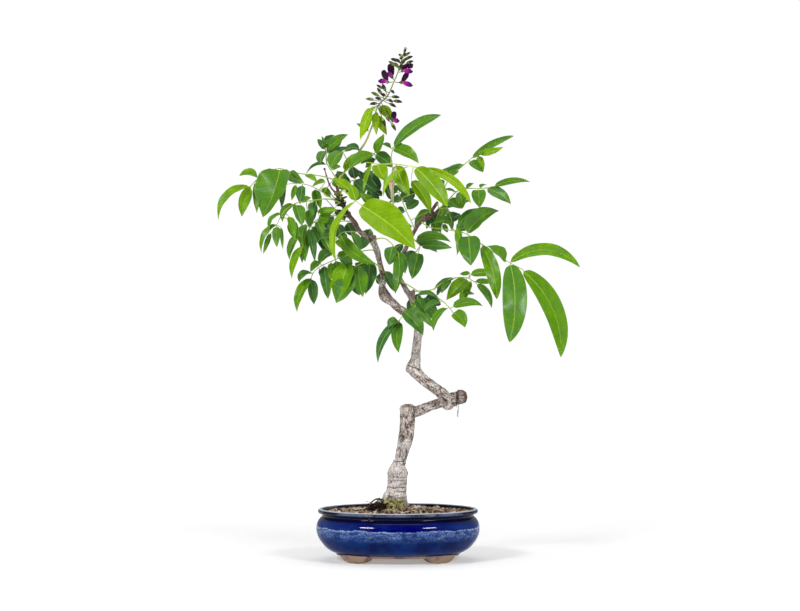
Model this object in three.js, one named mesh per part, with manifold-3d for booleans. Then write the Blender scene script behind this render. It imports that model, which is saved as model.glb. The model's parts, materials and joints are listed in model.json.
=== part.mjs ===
// A millettia bonsai in its oval glazed pot: a bent trunk, pinnate fronds, a short raceme and a tag.
// Millimetres, +Z up. The front faces -Y and the origin lies on the ground under the middle of the pot.

import * as THREE from 'three';
import { mergeVertices } from 'three/addons/utils/BufferGeometryUtils.js';
import Module from 'manifold-3d';

const wasm = await Module();
wasm.setup();

// Driving sizes

// Gap kept between pieces that touch.
const SEAT_GAP = 0.3;

// The tables of the tree give x and z as seen from this eye, on the plane y = 0, and then the depth y.
const EYE = { x: 2.7, z: 342.6, distance: 2800 };

// Pot: half axes of its oval at the lip, then its walls as [half width, height].
const POT = {
  halfWidth: 107,
  halfDepth: 79,
  sides: 28,
  outer: [
    [0, 9.3], [84, 9.3], [94, 15.5], [103, 26], [109.2, 37], [109.8, 44], [107.6, 51],
    [102.8, 56.6], [103.2, 60.8], [107, 62], [107, 67.8], [105.2, 69.5],
  ],
  inner: [[101.6, 69.5], [102.6, 46], [98, 28], [82, 15], [0, 15]],
};

// Feet: heights with the half span in degrees, the outer half width and the thickness of each layer.
const FOOT = {
  bearing: 46,
  facets: 3,
  layers: [
    { z: 12, halfSpan: 22, outer: 86.5, thick: 22 },
    { z: 8.6, halfSpan: 20, outer: 84.6, thick: 20 },
    { z: 5, halfSpan: 12, outer: 83.2, thick: 16 },
    { z: 0, halfSpan: 9, outer: 83.4, thick: 14 },
  ],
};

const DRAIN = { x: 44, radius: 9, sides: 12, reach: 30 };
const SCREEN = { width: 30, thick: 1, bar: 2.4, slots: 3 };

// Soil: its sides under the surface, then the surface from the wall to the mound round the trunk.
const SOIL = {
  sides: [[0, 16.6], [82, 16.6], [97, 28.8], [101.8, 46]],
  edge: { halfWidth: 100.8, z: 62.6 },
  innerHalfWidth: 32,
  rings: 6,
  mound: 7,
  rise: 1.6,
  grain: 1.5,
  sway: 1.5,
  swaySeed: 900,
};

// Wood as limbs. Each station is [x seen, z seen, depth, radius].
const LIMBS = {
  trunk: {
    sides: 10,
    stations: [
      [-4, 34, 0, 12], [-4, 56, 0, 15], [-4, 66, 0, 18.5], [-4.7, 74, 0, 19], [-4.2, 82, 0, 17.4],
      [-2, 94, 0, 13.8], [-0.7, 108, 0, 13.5], [0, 118, 0, 14.8], [1, 127, 0, 10.6],
      [3.4, 135, 0, 8.2], [6.4, 148, 0, 9.1], [9.8, 161, 0, 10.3], [12, 175, -1, 10],
      [13, 188, -1, 10.3], [13.6, 202, -2, 11.3], [13.6, 207.3, -2, 10.8],
    ],
  },
  cross: {
    sides: 7,
    stations: [
      [14, 198, -2, 7.6], [25, 200, 0, 7.4], [43, 207, 3, 6.5], [57, 211.5, 5, 6.7], [72, 215, 3, 8.6],
    ],
  },
  cut_stub: {
    sides: 8,
    stations: [
      [66, 213, 2, 8.4], [75, 216.5, 2, 10.2], [79, 218, 2, 8.6], [84, 219.5, 2, 9.6],
      [90.5, 221, 2, 9],
    ],
  },
  return_limb: {
    sides: 7,
    stations: [
      [68, 214, 0, 8], [59, 224, -6, 7.8], [44, 235.5, -8, 7.3], [31, 245.5, -6, 7.4], [21.5, 256, -3, 8.6],
    ],
  },
  riser: {
    sides: 8,
    stations: [
      [20.5, 254, -3, 8.4], [21.5, 262, -2, 9.3], [23.6, 270, -1, 7.3], [24.6, 283, 0, 5.9],
      [26, 296, 0, 5.9], [27.4, 306, 0, 6.1], [26.6, 319, 0, 5.9], [23.5, 331, 0, 7.4],
    ],
  },
  left_arm: {
    sides: 7,
    stations: [
      [25, 324, 0, 5.6], [13.5, 330.5, -2, 6], [1.3, 338.5, -4, 5.5], [-8, 347, -6, 5.8],
      [-17.5, 355.5, -8, 8],
      [-21, 366, -8, 5.2], [-20.6, 376, -7, 3.9], [-20, 382, -7, 4.1], [-22.5, 391, -6, 3.6],
      [-25.4, 404, -4, 3.7], [-28.6, 417, -2, 4.1], [-33.4, 430, 0, 4.6], [-33.2, 436, 0, 4.2],
    ],
  },
  left_twig: {
    sides: 5,
    stations: [
      [-33, 427, 0, 4], [-40, 435, 2, 3.6], [-51, 441.5, 4, 3.4], [-59, 455, 6, 3.3], [-67, 465, 6, 3.2],
      [-73, 477, 5, 2.8], [-78, 489, 4, 2.5], [-82, 501, 4, 2.1], [-83.5, 514, 4, 1.7],
    ],
  },
  budded_twig: {
    sides: 4,
    stations: [[-79, 490, 4, 1.6], [-90, 501, 7, 1.3], [-95, 513, 9, 1.2], [-98.5, 525, 10, 0.9]],
  },
  right_arm: {
    sides: 6,
    stations: [
      [24, 330, 0, 5.4], [21.5, 341, 3, 4.8], [19, 351, 5, 4.2], [12, 362, 7, 3.7], [5.4, 374, 9, 3.3],
      [-0.6, 386, 11, 3.5], [-2, 397, 12, 4], [3.4, 406, 12, 3.5], [9.4, 417, 12, 3.1],
      [17, 433, 10, 2.8], [23, 444, 8, 2.7], [29, 454, 6, 3], [40.5, 465, 4, 2.6],
      [47, 472.5, 3, 2.4], [53, 481.5, 2, 2.2],
    ],
  },
  right_twig: {
    sides: 5,
    stations: [
      [29, 453, 6, 2.3], [38, 458.5, 4, 1.9], [46.5, 463.5, -2, 1.8], [57, 473.5, -5, 1.7],
      [66, 480, -6, 1.5],
    ],
  },
  fork_stub: { sides: 5, stations: [[19, 350, 5, 3.2], [20, 357, 4, 3.2], [20.5, 362, 3, 2.6]] },
  root_left: {
    sides: 5,
    stations: [
      [-14, 76, -6, 4], [-22, 82, -10, 2.4], [-29, 83, -14, 1.8], [-37, 77, -20, 1.7],
      [-42, 66, -24, 1.6], [-44, 56, -25, 1.4],
    ],
  },
  root_right: {
    sides: 5,
    stations: [[6, 76, -4, 5], [17, 73, -8, 3.6], [28, 68, -12, 2.8], [38, 60, -16, 2.2]],
  },
  root_front: {
    sides: 5,
    stations: [[-6, 78, -10, 5], [-9, 72, -22, 4], [-15, 66, -34, 3], [-20, 58, -42, 2.2]],
  },
  root_back: {
    sides: 5,
    stations: [[-2, 78, 10, 6], [4, 71, 22, 4.4], [9, 63, 34, 3.2], [12, 55, 42, 2.4]],
  },
};

// Swellings of the wood, [x seen, z seen, depth, half sizes in x, y and z].
const KNUCKLES = [
  [67, 211, 1, 9.5, 9, 9.5],
  [20.5, 258, -3, 10.4, 9.6, 8.4],
];

// Leaf blades
const BLADE = {
  thick: 0.7, arch: 0.1, fold: 0.22, wave: 0.04, stalkWidth: 0.8, stalkLength: 2.4,
  small: { below: 11.8, stations: [0.36, 0.74] },
  middle: { below: 18, stations: [0.25, 0.55, 0.84] },
  large: { stations: [0.16, 0.4, 0.66, 0.88] },
};
const RACHIS = { sides: 3, radius: 1.05, tipRadius: 0.85, rootShares: [0.25, 0.5, 0.75] };
// The way that the upper side of a leaf turns: towards the front and the light.
const LEAF_FACING = new THREE.Vector3(0, -0.84, 0.54);

// How much deeper than their tables the fronds spread towards the front and towards the back.
const CROWN_SPREAD = { front: 1.3, back: 0.93 };

// Fronds: the stalk as [x seen, z seen, depth], then its leaflets as
// [base x, base z, tip x, tip z, seen width, depth that the tip gains, turn in degrees, sideways bend].
const FRONDS = {
  frond_far_left: {
    stalk: [
      [-83, 510, 4], [-92, 514, -10], [-110, 518, -22], [-130, 520, -30], [-146, 523, -36],
      [-160, 527, -42], [-176, 522, -46], [-190, 512, -48], [-198, 504, -50],
    ],
    leaflets: [
      [-159, 528, -182, 462, 36, -18, 12, 4],
      [-186, 515, -214, 517, 11, -6, 25, 2],
      [-168, 526, -185, 513, 11, 20, 10, 0],
      [-198, 504, -241, 458, 13, -6, 20, -9],
      [-198, 503, -210, 462, 12, 14, -25, 3],
      [-148, 523, -126, 508, 12, -20, 20, 3],
      [-126, 519, -109, 509, 9, -14, -20, 0],
    ],
  },
  frond_left_low: {
    stalk: [
      [-73, 477, 5], [-82, 484, 22], [-93, 489, 34], [-108, 499, 44], [-122, 505, 54], [-135, 507, 62],
      [-150, 506, 70],
    ],
    leaflets: [
      [-128, 506, -132, 479, 12, 8, 20, 0],
      [-150, 506, -157, 472, 7, 10, 50, 0],
      [-150, 506, -174, 494, 12, 22, 20, -3],
      [-112, 500, -109, 478, 11, 6, -15, 0],
    ],
  },
  frond_left_front: {
    stalk: [
      [-73, 477, 5], [-84, 484, -14], [-98, 486, -30], [-115, 484, -42], [-138, 480, -54],
      [-152, 471, -62], [-160, 458, -68], [-165, 446, -72],
    ],
    leaflets: [
      [-138, 480, -153, 455, 13, -18, 15, 2],
      [-129, 482, -124, 455, 13, -16, -15, 0],
      [-156, 468, -172, 446, 9, -14, 30, -2],
      [-158, 462, -142, 431, 11, -20, -20, 2],
      [-162, 452, -163, 421, 11, -16, 10, 0],
      [-165, 446, -184, 412, 10, -2, 35, -2],
      [-115, 484, -113, 464, 9, -14, 30, 0],
    ],
  },
  frond_left_drop: {
    stalk: [
      [-67, 464, 6], [-80, 464, -12], [-95, 462, -26], [-109, 458, -38], [-118, 449, -46],
      [-126, 434, -54], [-128, 424, -58],
    ],
    leaflets: [
      [-120, 446, -125, 401, 11, -16, 15, 2],
      [-128, 424, -144, 380, 12, -12, 10, -3],
      [-124, 438, -146, 405, 11, -14, 25, -2],
      [-117, 451, -112, 401, 11, -18, -20, -2],
      [-108, 458, -100, 436, 10, -14, -10, 0],
      [-98, 462, -88, 443, 13, -16, 20, 0],
    ],
  },
  frond_left_under: {
    stalk: [[-51, 441.5, 4], [-62, 442, -14], [-74, 441, -28], [-80, 436, -38], [-86, 429, -46]],
    leaflets: [
      [-78, 437, -28, 398, 15, -22, 10, 8],
      [-84, 432, -103, 433, 10, -24, 20, 3],
      [-86, 429, -90, 409, 11, -10, -10, 0],
      [-64, 442, -50, 417, 11, 6, -20, 0],
    ],
  },
  frond_left_hanging: {
    stalk: [
      [-28.6, 417, -2], [-40, 417, 18], [-56, 414, 34], [-75, 408, 44], [-90, 402, 50],
      [-103, 396, 54], [-113, 388, 56], [-117, 380, 56],
    ],
    leaflets: [
      [-100, 398, -87, 417, 10, 12, 10, 0],
      [-106, 394, -119, 389, 11, -18, 10, 0],
      [-113, 387, -133, 374, 11, -16, 20, 5],
      [-117, 381, -136, 334, 12, -8, 10, 6],
      [-117, 379, -113, 344, 12, 10, -10, 0],
      [-106, 393, -87, 365, 13, 14, -15, 0],
      [-100, 397, -94, 351, 11, -14, 15, 0],
      [-84, 405, -77, 380, 13, 12, 10, 0],
    ],
  },
  frond_left_inner: {
    stalk: [
      [-22.5, 391, -6], [-31, 399, -16], [-41, 401, -24], [-52, 398, -32], [-60, 393, -38],
      [-66, 388, -42],
    ],
    leaflets: [
      [-66, 389, -83, 346, 23, -16, 5, -2],
      [-61, 393, -81, 409, 11, -10, -10, 0],
      [-53, 398, -47, 354, 18, -18, -15, 2],
      [-39, 401, -44, 358, 19, -22, 15, -2],
      [-59, 394, -63, 367, 10, 6, 20, 0],
    ],
  },
  young_centre: {
    young: true,
    stalk: [[-78, 489, 4], [-75, 497, -14], [-66, 491, -32], [-57, 483, -46], [-50, 478, -54]],
    leaflets: [
      [-50, 478, 24, 419, 33, -34, 10, -7],
      [-59, 484, -83, 402, 9, -30, 35, 14],
    ],
  },
  frond_top_left: {
    stalk: [[-83.5, 514, 4], [-90, 524, 12], [-96, 535, 18], [-97, 550, 24], [-99, 559, 27]],
    leaflets: [
      [-97, 551, -109, 565, 11, 12, 10, 0],
      [-97, 547, -105, 531, 9, -12, 20, 0],
      [-98, 555, -87, 572, 10, 10, -10, 0],
      [-97, 548, -67, 572, 11, -8, 15, -3],
      [-95, 537, -74, 552, 11, 14, 10, 0],
      [-94, 532, -124, 518, 8, 8, 25, -3],
      [-92, 528, -79, 520, 9, -10, 10, 0],
    ],
  },
  frond_crown_left: {
    host: 'flower_shoot',
    stalk: [[-65, 531, 3], [-70, 541, -2], [-75, 551, -4]],
    leaflets: [
      [-75, 550, -90, 525, 13, -22, 10, 3],
      [-74, 548, -52, 549, 9, -14, 15, -6],
    ],
  },
  frond_crown_middle: {
    host: 'flower_shoot',
    stalk: [[-51.5, 551, -1], [-42, 550, -8], [-32, 547, -14]],
    leaflets: [
      [-32, 547, -66, 525, 16, -20, 10, 4],
      [-35, 547, -50, 533, 9, -6, 0, 0],
      [-32, 547, -17, 573, 11, -14, -10, 2],
      [-32, 546, -7, 528, 15, 4, 10, 0],
    ],
  },
  young_upper_front: {
    young: true,
    host: 'flower_shoot',
    stalk: [
      [-58, 541, 1], [-46, 537, -14], [-34, 534, -26], [-24, 533, -34], [-3, 533, -46], [16, 530, -54],
      [35, 528, -60],
    ],
    leaflets: [
      [23, 529, 66, 476, 20, -34, 10, -3],
      [35, 528, 98, 480, 9, -24, 20, -10],
      [-2, 533, 16, 490, 16, -14, 10, 2],
      [13, 531, -20, 489, 7, -40, 25, 8],
      [-28, 534, -14, 509, 17, -22, 0, 2],
      [-36, 535, -47, 495, 6, -16, 40, 0],
    ],
  },
  frond_upper_spray: {
    host: 'young_upper_front',
    stalk: [[-9, 533.4, -42.6], [-9, 543, -40], [-7, 555, -38]],
    leaflets: [
      [-7, 555, 58, 598, 16, -20, 10, -12],
      [-7, 555, 28, 534, 15, -26, 5, -3],
      [-7, 555, 6, 561, 8, 6, 10, 0],
      [-8, 554, -22, 560, 8, -10, 10, 0],
    ],
  },
  frond_upper_right: {
    stalk: [
      [66, 480, -6], [62, 490, 4], [63, 502, 16], [73, 517, 30], [90, 533, 46], [101, 542, 56],
      [111, 548, 64],
    ],
    leaflets: [
      [90, 533, 57, 525, 10, 10, 10, -4],
      [80, 525, 67, 513, 9, -10, 10, 0],
      [64, 504, 50, 511, 8, 12, 10, 0],
      [97, 539, 156, 571, 8, 24, 20, -6],
      [109, 547, 142, 555, 7, -14, 30, 0],
      [103, 543, 116, 521, 12, -16, 10, 0],
      [110, 548, 121, 532, 8, 6, 10, 0],
    ],
  },
  frond_right_middle: {
    stalk: [
      [56, 472.5, -5], [69, 486, -20], [79, 496, -32], [90, 500, -42], [108, 500, -54],
      [120, 501, -62], [128, 503, -66],
    ],
    leaflets: [
      [119, 501, 151, 479, 12, -18, 10, 2],
      [128, 503, 178, 510, 7, -14, 35, -9],
      [108, 500, 110, 474, 16, -16, 5, 0],
      [79, 496, 62, 499, 7, -12, 20, 0],
      [84, 498, 87, 473, 12, -14, 10, 0],
    ],
  },
  frond_right_short: {
    stalk: [[53, 479, 2], [56, 474, -8], [66, 474, -18]],
    leaflets: [
      [60, 474, 98, 482, 9, -10, 20, -3],
      [66, 474, 81, 451, 11, -14, 10, 0],
    ],
  },
  frond_right_long: {
    stalk: [
      [31, 455, 6], [43, 448, -8], [57, 446, -18], [70, 444, -26], [92, 439, -38], [113, 425, -48],
      [131, 413, -54], [149, 401, -60], [168, 391, -64],
    ],
    leaflets: [
      [93, 439, 136, 470, 21, -16, 5, -3],
      [77, 443, 79, 411, 9, -14, 35, 0],
      [92, 438, 98, 396, 25, -26, 5, 2],
      [114, 424, 133, 351, 16, -24, 10, 3],
      [147, 402, 124, 421, 16, -12, 10, 0],
      [149, 401, 148, 293, 30, -30, 5, 4],
      [151, 401, 245, 394, 14, -8, 15, -22],
      [168, 391, 219, 273, 23, -18, 10, -19],
    ],
  },
  frond_mid_right: {
    stalk: [[17, 433, 10], [19, 434, -6], [23, 430, -18], [30, 423, -28]],
    leaflets: [
      [23, 431, 71, 428, 11, -14, 15, -7],
      [30, 423, 73, 420, 11, -24, 20, -2],
      [26, 427, 52, 414, 11, 6, 10, 0],
      [30, 423, 20, 378, 17, -14, 0, 2],
    ],
  },
  frond_mid_front: {
    stalk: [[-33.4, 430, 0], [-25, 433, -16], [-16, 432, -30], [-7, 424, -42], [1, 412, -52]],
    leaflets: [
      [-7, 424, -13, 398, 14, -12, 10, 0],
      [1, 412, -4, 358, 12, -24, 15, -3],
      [-2, 417, 10, 386, 14, 6, 10, 0],
    ],
  },
  frond_lower_right: {
    stalk: [
      [5.4, 374, 9], [14, 370, -6], [31, 360, -22], [43, 358, -32], [55, 352, -40], [64, 345, -46],
      [72, 336, -50], [77, 329, -52],
    ],
    leaflets: [
      [31, 360, 61, 366, 8, -14, 15, -4],
      [30, 360, 39, 331, 13, -18, 10, 0],
      [58, 349, 35, 335, 9, -18, 15, 0],
      [68, 340, 47, 308, 10, -16, 20, -2],
      [77, 329, 92, 312, 16, -14, 5, 0],
      [74, 332, 114, 343, 11, -16, 20, 2],
    ],
  },
  frond_lower_far: {
    stalk: [
      [12, 362, 7], [28, 362, 26], [46, 364, 40], [57, 371, 48], [73, 379, 56], [93, 380, 64],
      [105, 373, 68],
    ],
    leaflets: [
      [75, 379, 60, 370, 10, -12, 10, 0],
      [92, 380, 65, 350, 17, -18, 5, 0],
      [100, 376, 83, 341, 12, 8, 10, -2],
      [105, 373, 125, 338, 12, -10, 10, 3],
      [97, 379, 134, 382, 8, 16, 20, -3],
      [105, 374, 129, 368, 9, 12, 10, 0],
    ],
  },
  frond_fork_front: {
    stalk: [[19, 350, 5], [24, 344, -10], [20, 339, -20], [16, 337, -26]],
    leaflets: [
      [20, 339, 48, 314, 12, -10, 15, 2],
      [16, 337, 34, 303, 18, -16, 0, 2],
    ],
  },
  frond_fork_left: {
    stalk: [[11, 332, -2], [7, 329, -14], [2, 323, -22]],
    leaflets: [
      [2, 323, -13, 312, 12, -10, 10, 2],
      [2, 323, -27, 265, 11, -14, 15, 9],
      [2, 323, 3, 279, 16, -8, 0, 0],
    ],
  },
  back_fork: {
    stalk: [[20.5, 347, 4], [27, 350, 24], [32, 352, 46], [35, 352, 68], [37, 348, 88]],
    leaflets: [
      [28, 350, 50, 336, 14, 8, 0, 0],
      [29, 351, 12, 334, 14, 10, 0, 0],
      [35, 351, 14, 345, 15, 10, 10, 0],
      [37, 348, 52, 322, 14, 22, 10, 0],
      [37, 348, 26, 318, 14, 24, 10, 0],
    ],
  },
  back_lower_left: {
    stalk: [
      [-21, 366, -8], [-28, 378, 14], [-38, 387, 38], [-48, 391, 62], [-56, 389, 84], [-62, 382, 100],
    ],
    leaflets: [
      [-32, 382, -16, 372, 15, 14, 10, 0],
      [-40, 388, -58, 400, 14, 6, 0, 0],
      [-47, 391, -36, 368, 15, 14, 10, 0],
      [-60, 384, -52, 356, 15, 16, 10, 0],
      [-62, 382, -78, 356, 15, 18, 10, 0],
    ],
  },
  back_left: {
    stalk: [[-59, 455, 6], [-66, 456, 30], [-76, 456, 54], [-88, 452, 76], [-98, 444, 94]],
    leaflets: [
      [-68, 456, -60, 436, 14, 10, 10, 0],
      [-82, 454, -76, 430, 14, 14, 10, 0],
      [-97, 445, -92, 418, 15, 16, 10, 0],
      [-98, 444, -118, 424, 15, 16, 0, 0],
    ],
  },
  back_upper_left: {
    stalk: [[-82, 501, 4], [-74, 506, 26], [-64, 510, 50], [-54, 512, 74], [-46, 509, 98], [-40, 502, 116]],
    leaflets: [
      [-70, 508, -82, 524, 12, 8, 0, 0],
      [-61, 511, -44, 496, 14, 12, 10, 0],
      [-48, 510, -30, 496, 14, 8, 10, 0],
      [-47, 509, -34, 524, 13, 8, 0, 0],
      [-40, 502, -28, 476, 14, 14, 10, 0],
      [-41, 503, -58, 484, 14, 14, 0, 0],
    ],
  },
  back_centre: {
    stalk: [[23, 444, 8], [18, 456, 30], [12, 468, 54], [7, 480, 78], [3, 490, 100], [1, 494, 118]],
    leaflets: [
      [18, 458, 0, 450, 13, 12, 10, 0],
      [10, 471, 28, 484, 14, 10, 0, 0],
      [11, 470, -8, 466, 14, 12, 10, 0],
      [5, 484, -12, 482, 14, 12, 10, 0],
      [1, 494, -18, 504, 13, 12, 0, 0],
    ],
  },
  back_right: {
    stalk: [[40.5, 465, 4], [50, 462, 28], [60, 457, 52], [70, 450, 76], [78, 441, 98], [84, 431, 114]],
    leaflets: [
      [53, 460, 66, 474, 13, 8, 0, 0],
      [62, 456, 52, 436, 14, 12, 10, 0],
      [75, 445, 70, 420, 14, 12, 10, 0],
      [76, 444, 98, 452, 14, 6, 0, 0],
      [84, 431, 84, 402, 15, 16, 10, 0],
      [84, 431, 106, 416, 15, 14, 0, 0],
    ],
  },
};

// Flowering shoot: its stem as [x seen, z seen, depth, radius], then its young leaves as above.
const FLOWER_SHOOT = {
  sides: 6,
  stem: [
    [-82.6, 508, 4, 1.5], [-74, 520, 2, 1.5], [-65, 531, 3, 1.5], [-58, 541, 1, 1.4], [-51.5, 551, -1, 1.4],
    [-43, 564, -4, 1.2], [-38, 576, -6, 1.2], [-32, 592, -8, 1.1], [-28.5, 609, -9, 1],
  ],
  leaves: [
    [-36, 609, -51, 565, 11, -16, 10, 0],
    [-38, 606, -46, 572, 9, 10, -20, 0],
    [-31, 606, -29, 572, 8, -14, 20, 0],
    [-28, 609, -8, 590, 13, 12, 10, -3],
    [-29, 601, -15, 572, 9, 8, 20, 0],
    [-39, 577, -56, 588, 7, 8, 10, 0],
  ],
};

// Raceme: its axis as [x seen, z seen, depth, radius].
const RACEME = {
  sides: 4,
  stalkDepth: -10,
  axis: [
    [-28.5, 609.3, -9, 0.9], [-24, 615, -9, 0.9], [-14, 625, -10, 0.9], [-7, 640, -10, 0.8],
    [0, 657, -10, 0.8], [4.5, 671, -10, 0.7], [8, 683, -10, 0.6], [9.6, 691, -10, 0.6],
    [12.5, 688.5, -10, 0.5],
  ],
  // Closed buds as [stalk foot x, stalk foot z, bud x, bud z, depth it gains, half length, half width].
  buds: [
    [4, 670, -2, 673, -3, 3.6, 1.9],
    [2, 662, -4, 667, 3, 4.4, 2.1],
    [5, 672, 13.5, 673.5, -3, 3.8, 1.9],
    [6, 676, 13, 678, 3, 3.2, 1.6],
    [8, 682, 10.5, 685.5, -2, 2.6, 1.5],
    [7, 679, 4.5, 681, 2, 2.4, 1.4],
    [-14, 625, -23, 633, -4, 4.2, 2.2],
    [-18, 621, -30, 629, 3, 4, 2.1],
    [-21, 618, -33, 619, -4, 4.4, 2.2],
    [-24, 615, -38, 615, 4, 4, 2],
    [-15, 624, -6, 622, -4, 3.4, 1.7],
    [-19, 620, -4, 616, 4, 4.6, 2.2],
    [-25, 614, -9, 583, -8, 4.4, 2.2],
    [-27, 612, -20, 590, -6, 4, 2.1],
    [-12, 629, -21, 640, 4, 3.6, 1.9],
  ],
};

// A bud and its thin stalk.
const BUD = { sides: 3, stalkRadius: 0.6, neckRadius: 0.7, roundness: 1.15 };

// A floret: the calyx on its stalk, the keel as a swelling tube, and the banner behind it.
const CALYX = { sides: 3, radii: [0.6, 0.7, 1.9], neck: 0.7 };
const KEEL = { sides: 5, shares: [0, 0.4, 0.85, 1], radii: [0.9, 2.4, 2.1, 0.8], forward: 2 };
const BANNER = { arch: -0.12, turn: 10, back: 1, rootShare: 0.05 };

// Open florets: foot on the axis, then the base, the tip of the banner and the tip of the keel.
const FLORETS = [
  { foot: [-9, 636], base: [-15, 641], banner: [-21, 658], keel: [-27, 646], depth: -15, width: 12 },
  { foot: [-2, 651], base: [-6, 651], banner: [-12, 669], keel: [-15, 660], depth: -5, width: 10 },
  { foot: [1, 659], base: [4.5, 657], banner: [17, 664], keel: [20, 655], depth: -14, width: 11 },
  { foot: [-4, 647], base: [4, 643], banner: [13, 657], keel: [19, 639], depth: -7, width: 12 },
  { foot: [-23, 616], base: [-9, 591], banner: [-5, 604], keel: [1, 594], depth: -14, width: 10 },
  { foot: [4, 668], base: [9, 664], banner: [18, 670], keel: [20, 664], depth: -5, width: 7 },
];

const DRIED_LEAF = {
  stalk: [[-3, 533, -46], [-3, 529, -51]],
  leaflets: [[-3, 529, -4, 470, 7, -6, 35, 3]],
};

// Tag: a bare card on a loop of wire that hangs in the groove of the cut stub.
const TAG = {
  x: 80,
  y: 2,
  stubZ: 217,
  loopRadius: 12,
  card: { width: 43, height: 40, thick: 0.8, corner: 2.5, top: 197, holeRadius: 1.6, holeInset: 3.4 },
};

// Wire of the tag: its loop turns from one angle to the other, 90 degrees being the top of the stub.
// Then it passes through the card, as [sideways, behind the card, above the hole].
const WIRE = {
  radius: 0.5,
  sides: 4,
  loop: { from: -150, to: 150, step: 30, sway: 1 },
  way: [[1, 4.5, 8.4], [0.5, 3.5, 2.4], [0, 0, -0.2], [-0.5, -3.2, 2.6], [-0.2, -2, 6.4], [0.4, 1.5, 8.9]],
};

// Seeds that keep the waves of one stalk's leaflets apart from those of the next.
const SEEDS = { frondStep: 20, shoot: 500, dried: 700 };

// Colours
const FINISHES = {
  pot: { color: 0x14225e, roughness: 0.15 },
  screen: { color: 0x1c1d1f, roughness: 0.7 },
  soil: { color: 0x6b5541, roughness: 0.95 },
  trunk: { color: 0xa8968a, roughness: 0.85 },
  leaf: { color: 0x4d7d16, roughness: 0.45 },
  young: { color: 0x9fbd1e, roughness: 0.4 },
  shoot: { color: 0x8f9a3c, roughness: 0.5 },
  dried: { color: 0xc4b186, roughness: 0.8 },
  raceme: { color: 0x4b4a35, roughness: 0.6 },
  floret: { color: 0x6e0d66, roughness: 0.5 },
  wire: { color: 0x26221f, roughness: 0.4, metalness: 0.6 },
  card: { color: 0xf4f5f5, roughness: 0.7 },
};

// Geometry helpers

// The point at depth y that is seen at x and z on the plane y = 0.
function seen(x, z, y) {
  const scale = (EYE.distance + y) / EYE.distance;
  return new THREE.Vector3(EYE.x + (x - EYE.x) * scale, y, EYE.z + (z - EYE.z) * scale);
}

// A closed geometry from its corners and triangles, turned so that its faces point out.
function closedGeometry(corners, triangles) {
  let volume = 0;
  for (const [a, b, c] of triangles) {
    volume += corners[a].dot(new THREE.Vector3().crossVectors(corners[b], corners[c]));
  }
  const facing = volume < 0 ? triangles.map(([a, b, c]) => [a, c, b]) : triangles;
  const geometry = new THREE.BufferGeometry();
  const places = corners.flatMap((corner) => [corner.x, corner.y, corner.z]);
  geometry.setAttribute('position', new THREE.Float32BufferAttribute(places, 3));
  geometry.setIndex(facing.flat());
  return geometry;
}

// The skin between rings of corners, closed at each end by a point.
function loft(rings, firstPoint, lastPoint) {
  const count = rings[0].length;
  const corners = [firstPoint, ...rings.flat(), lastPoint];
  const at = (ring, side) => 1 + ring * count + (side % count);
  const last = corners.length - 1;
  const triangles = [];
  for (let side = 0; side < count; side += 1) {
    triangles.push([0, at(0, side + 1), at(0, side)]);
    for (let ring = 0; ring < rings.length - 1; ring += 1) {
      triangles.push([at(ring, side), at(ring, side + 1), at(ring + 1, side + 1)]);
      triangles.push([at(ring, side), at(ring + 1, side + 1), at(ring + 1, side)]);
    }
    triangles.push([at(rings.length - 1, side), at(rings.length - 1, side + 1), last]);
  }
  return closedGeometry(corners, triangles);
}

function toSolid(geometry) {
  const bare = geometry.clone();
  bare.deleteAttribute('normal');
  bare.deleteAttribute('uv');
  const merged = mergeVertices(bare, 1e-5);
  const mesh = new wasm.Mesh({
    numProp: 3,
    vertProperties: new Float32Array(merged.attributes.position.array),
    triVerts: new Uint32Array(merged.index.array),
  });
  return new wasm.Manifold(mesh);
}

function toGeometry(solid) {
  const mesh = solid.getMesh();
  const geometry = new THREE.BufferGeometry();
  geometry.setAttribute('position', new THREE.BufferAttribute(new Float32Array(mesh.vertProperties), 3));
  geometry.setIndex(new THREE.BufferAttribute(new Uint32Array(mesh.triVerts), 1));
  return geometry;
}

function joinAll(geometries) {
  return geometries.map(toSolid).reduce((whole, piece) => whole.add(piece));
}

// A number from 0 to 1 that is always the same for the same seed.
function randomFrom(seed) {
  const value = Math.sin(seed * 127.1 + 311.7) * 43758.5453;
  return value - Math.floor(value);
}

// A tapering tube through places with a radius at each, with flat ends.
function tube(places, radii, sides) {
  const last = places.length - 1;
  const curve = new THREE.CatmullRomCurve3(places, false, 'centripetal');
  const frames = curve.computeFrenetFrames(last, false);
  const rings = places.map((_, index) => {
    const centre = curve.getPoint(index / last);
    const ring = [];
    for (let side = 0; side < sides; side += 1) {
      const angle = (2 * Math.PI * side) / sides;
      ring.push(
        centre.clone()
          .addScaledVector(frames.normals[index], radii[index] * Math.cos(angle))
          .addScaledVector(frames.binormals[index], radii[index] * Math.sin(angle)),
      );
    }
    return ring;
  });
  return loft(rings, curve.getPoint(0), curve.getPoint(1));
}

// A tube from rows of [x seen, z seen, depth, radius], fatter by the allowance.
function limb(stations, sides, allowance = 0) {
  const places = stations.map(([x, z, y]) => seen(x, z, y));
  const radii = stations.map(([, , , radius]) => radius + allowance);
  return tube(places, radii, sides);
}

function ellipsoid(centre, halfX, halfY, halfZ) {
  const geometry = new THREE.IcosahedronGeometry(1, 1);
  geometry.scale(halfX, halfY, halfZ);
  geometry.translate(centre.x, centre.y, centre.z);
  geometry.deleteAttribute('normal');
  geometry.deleteAttribute('uv');
  return mergeVertices(geometry, 1e-4);
}

// Pot and soil

// A point of the pot's oval: a wall that is equally thick all round.
function ovalPoint(halfWidth, angle, z) {
  const halfDepth = Math.max(halfWidth - (POT.halfWidth - POT.halfDepth), 0);
  return new THREE.Vector3(halfWidth * Math.cos(angle), halfDepth * Math.sin(angle), z);
}

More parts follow.
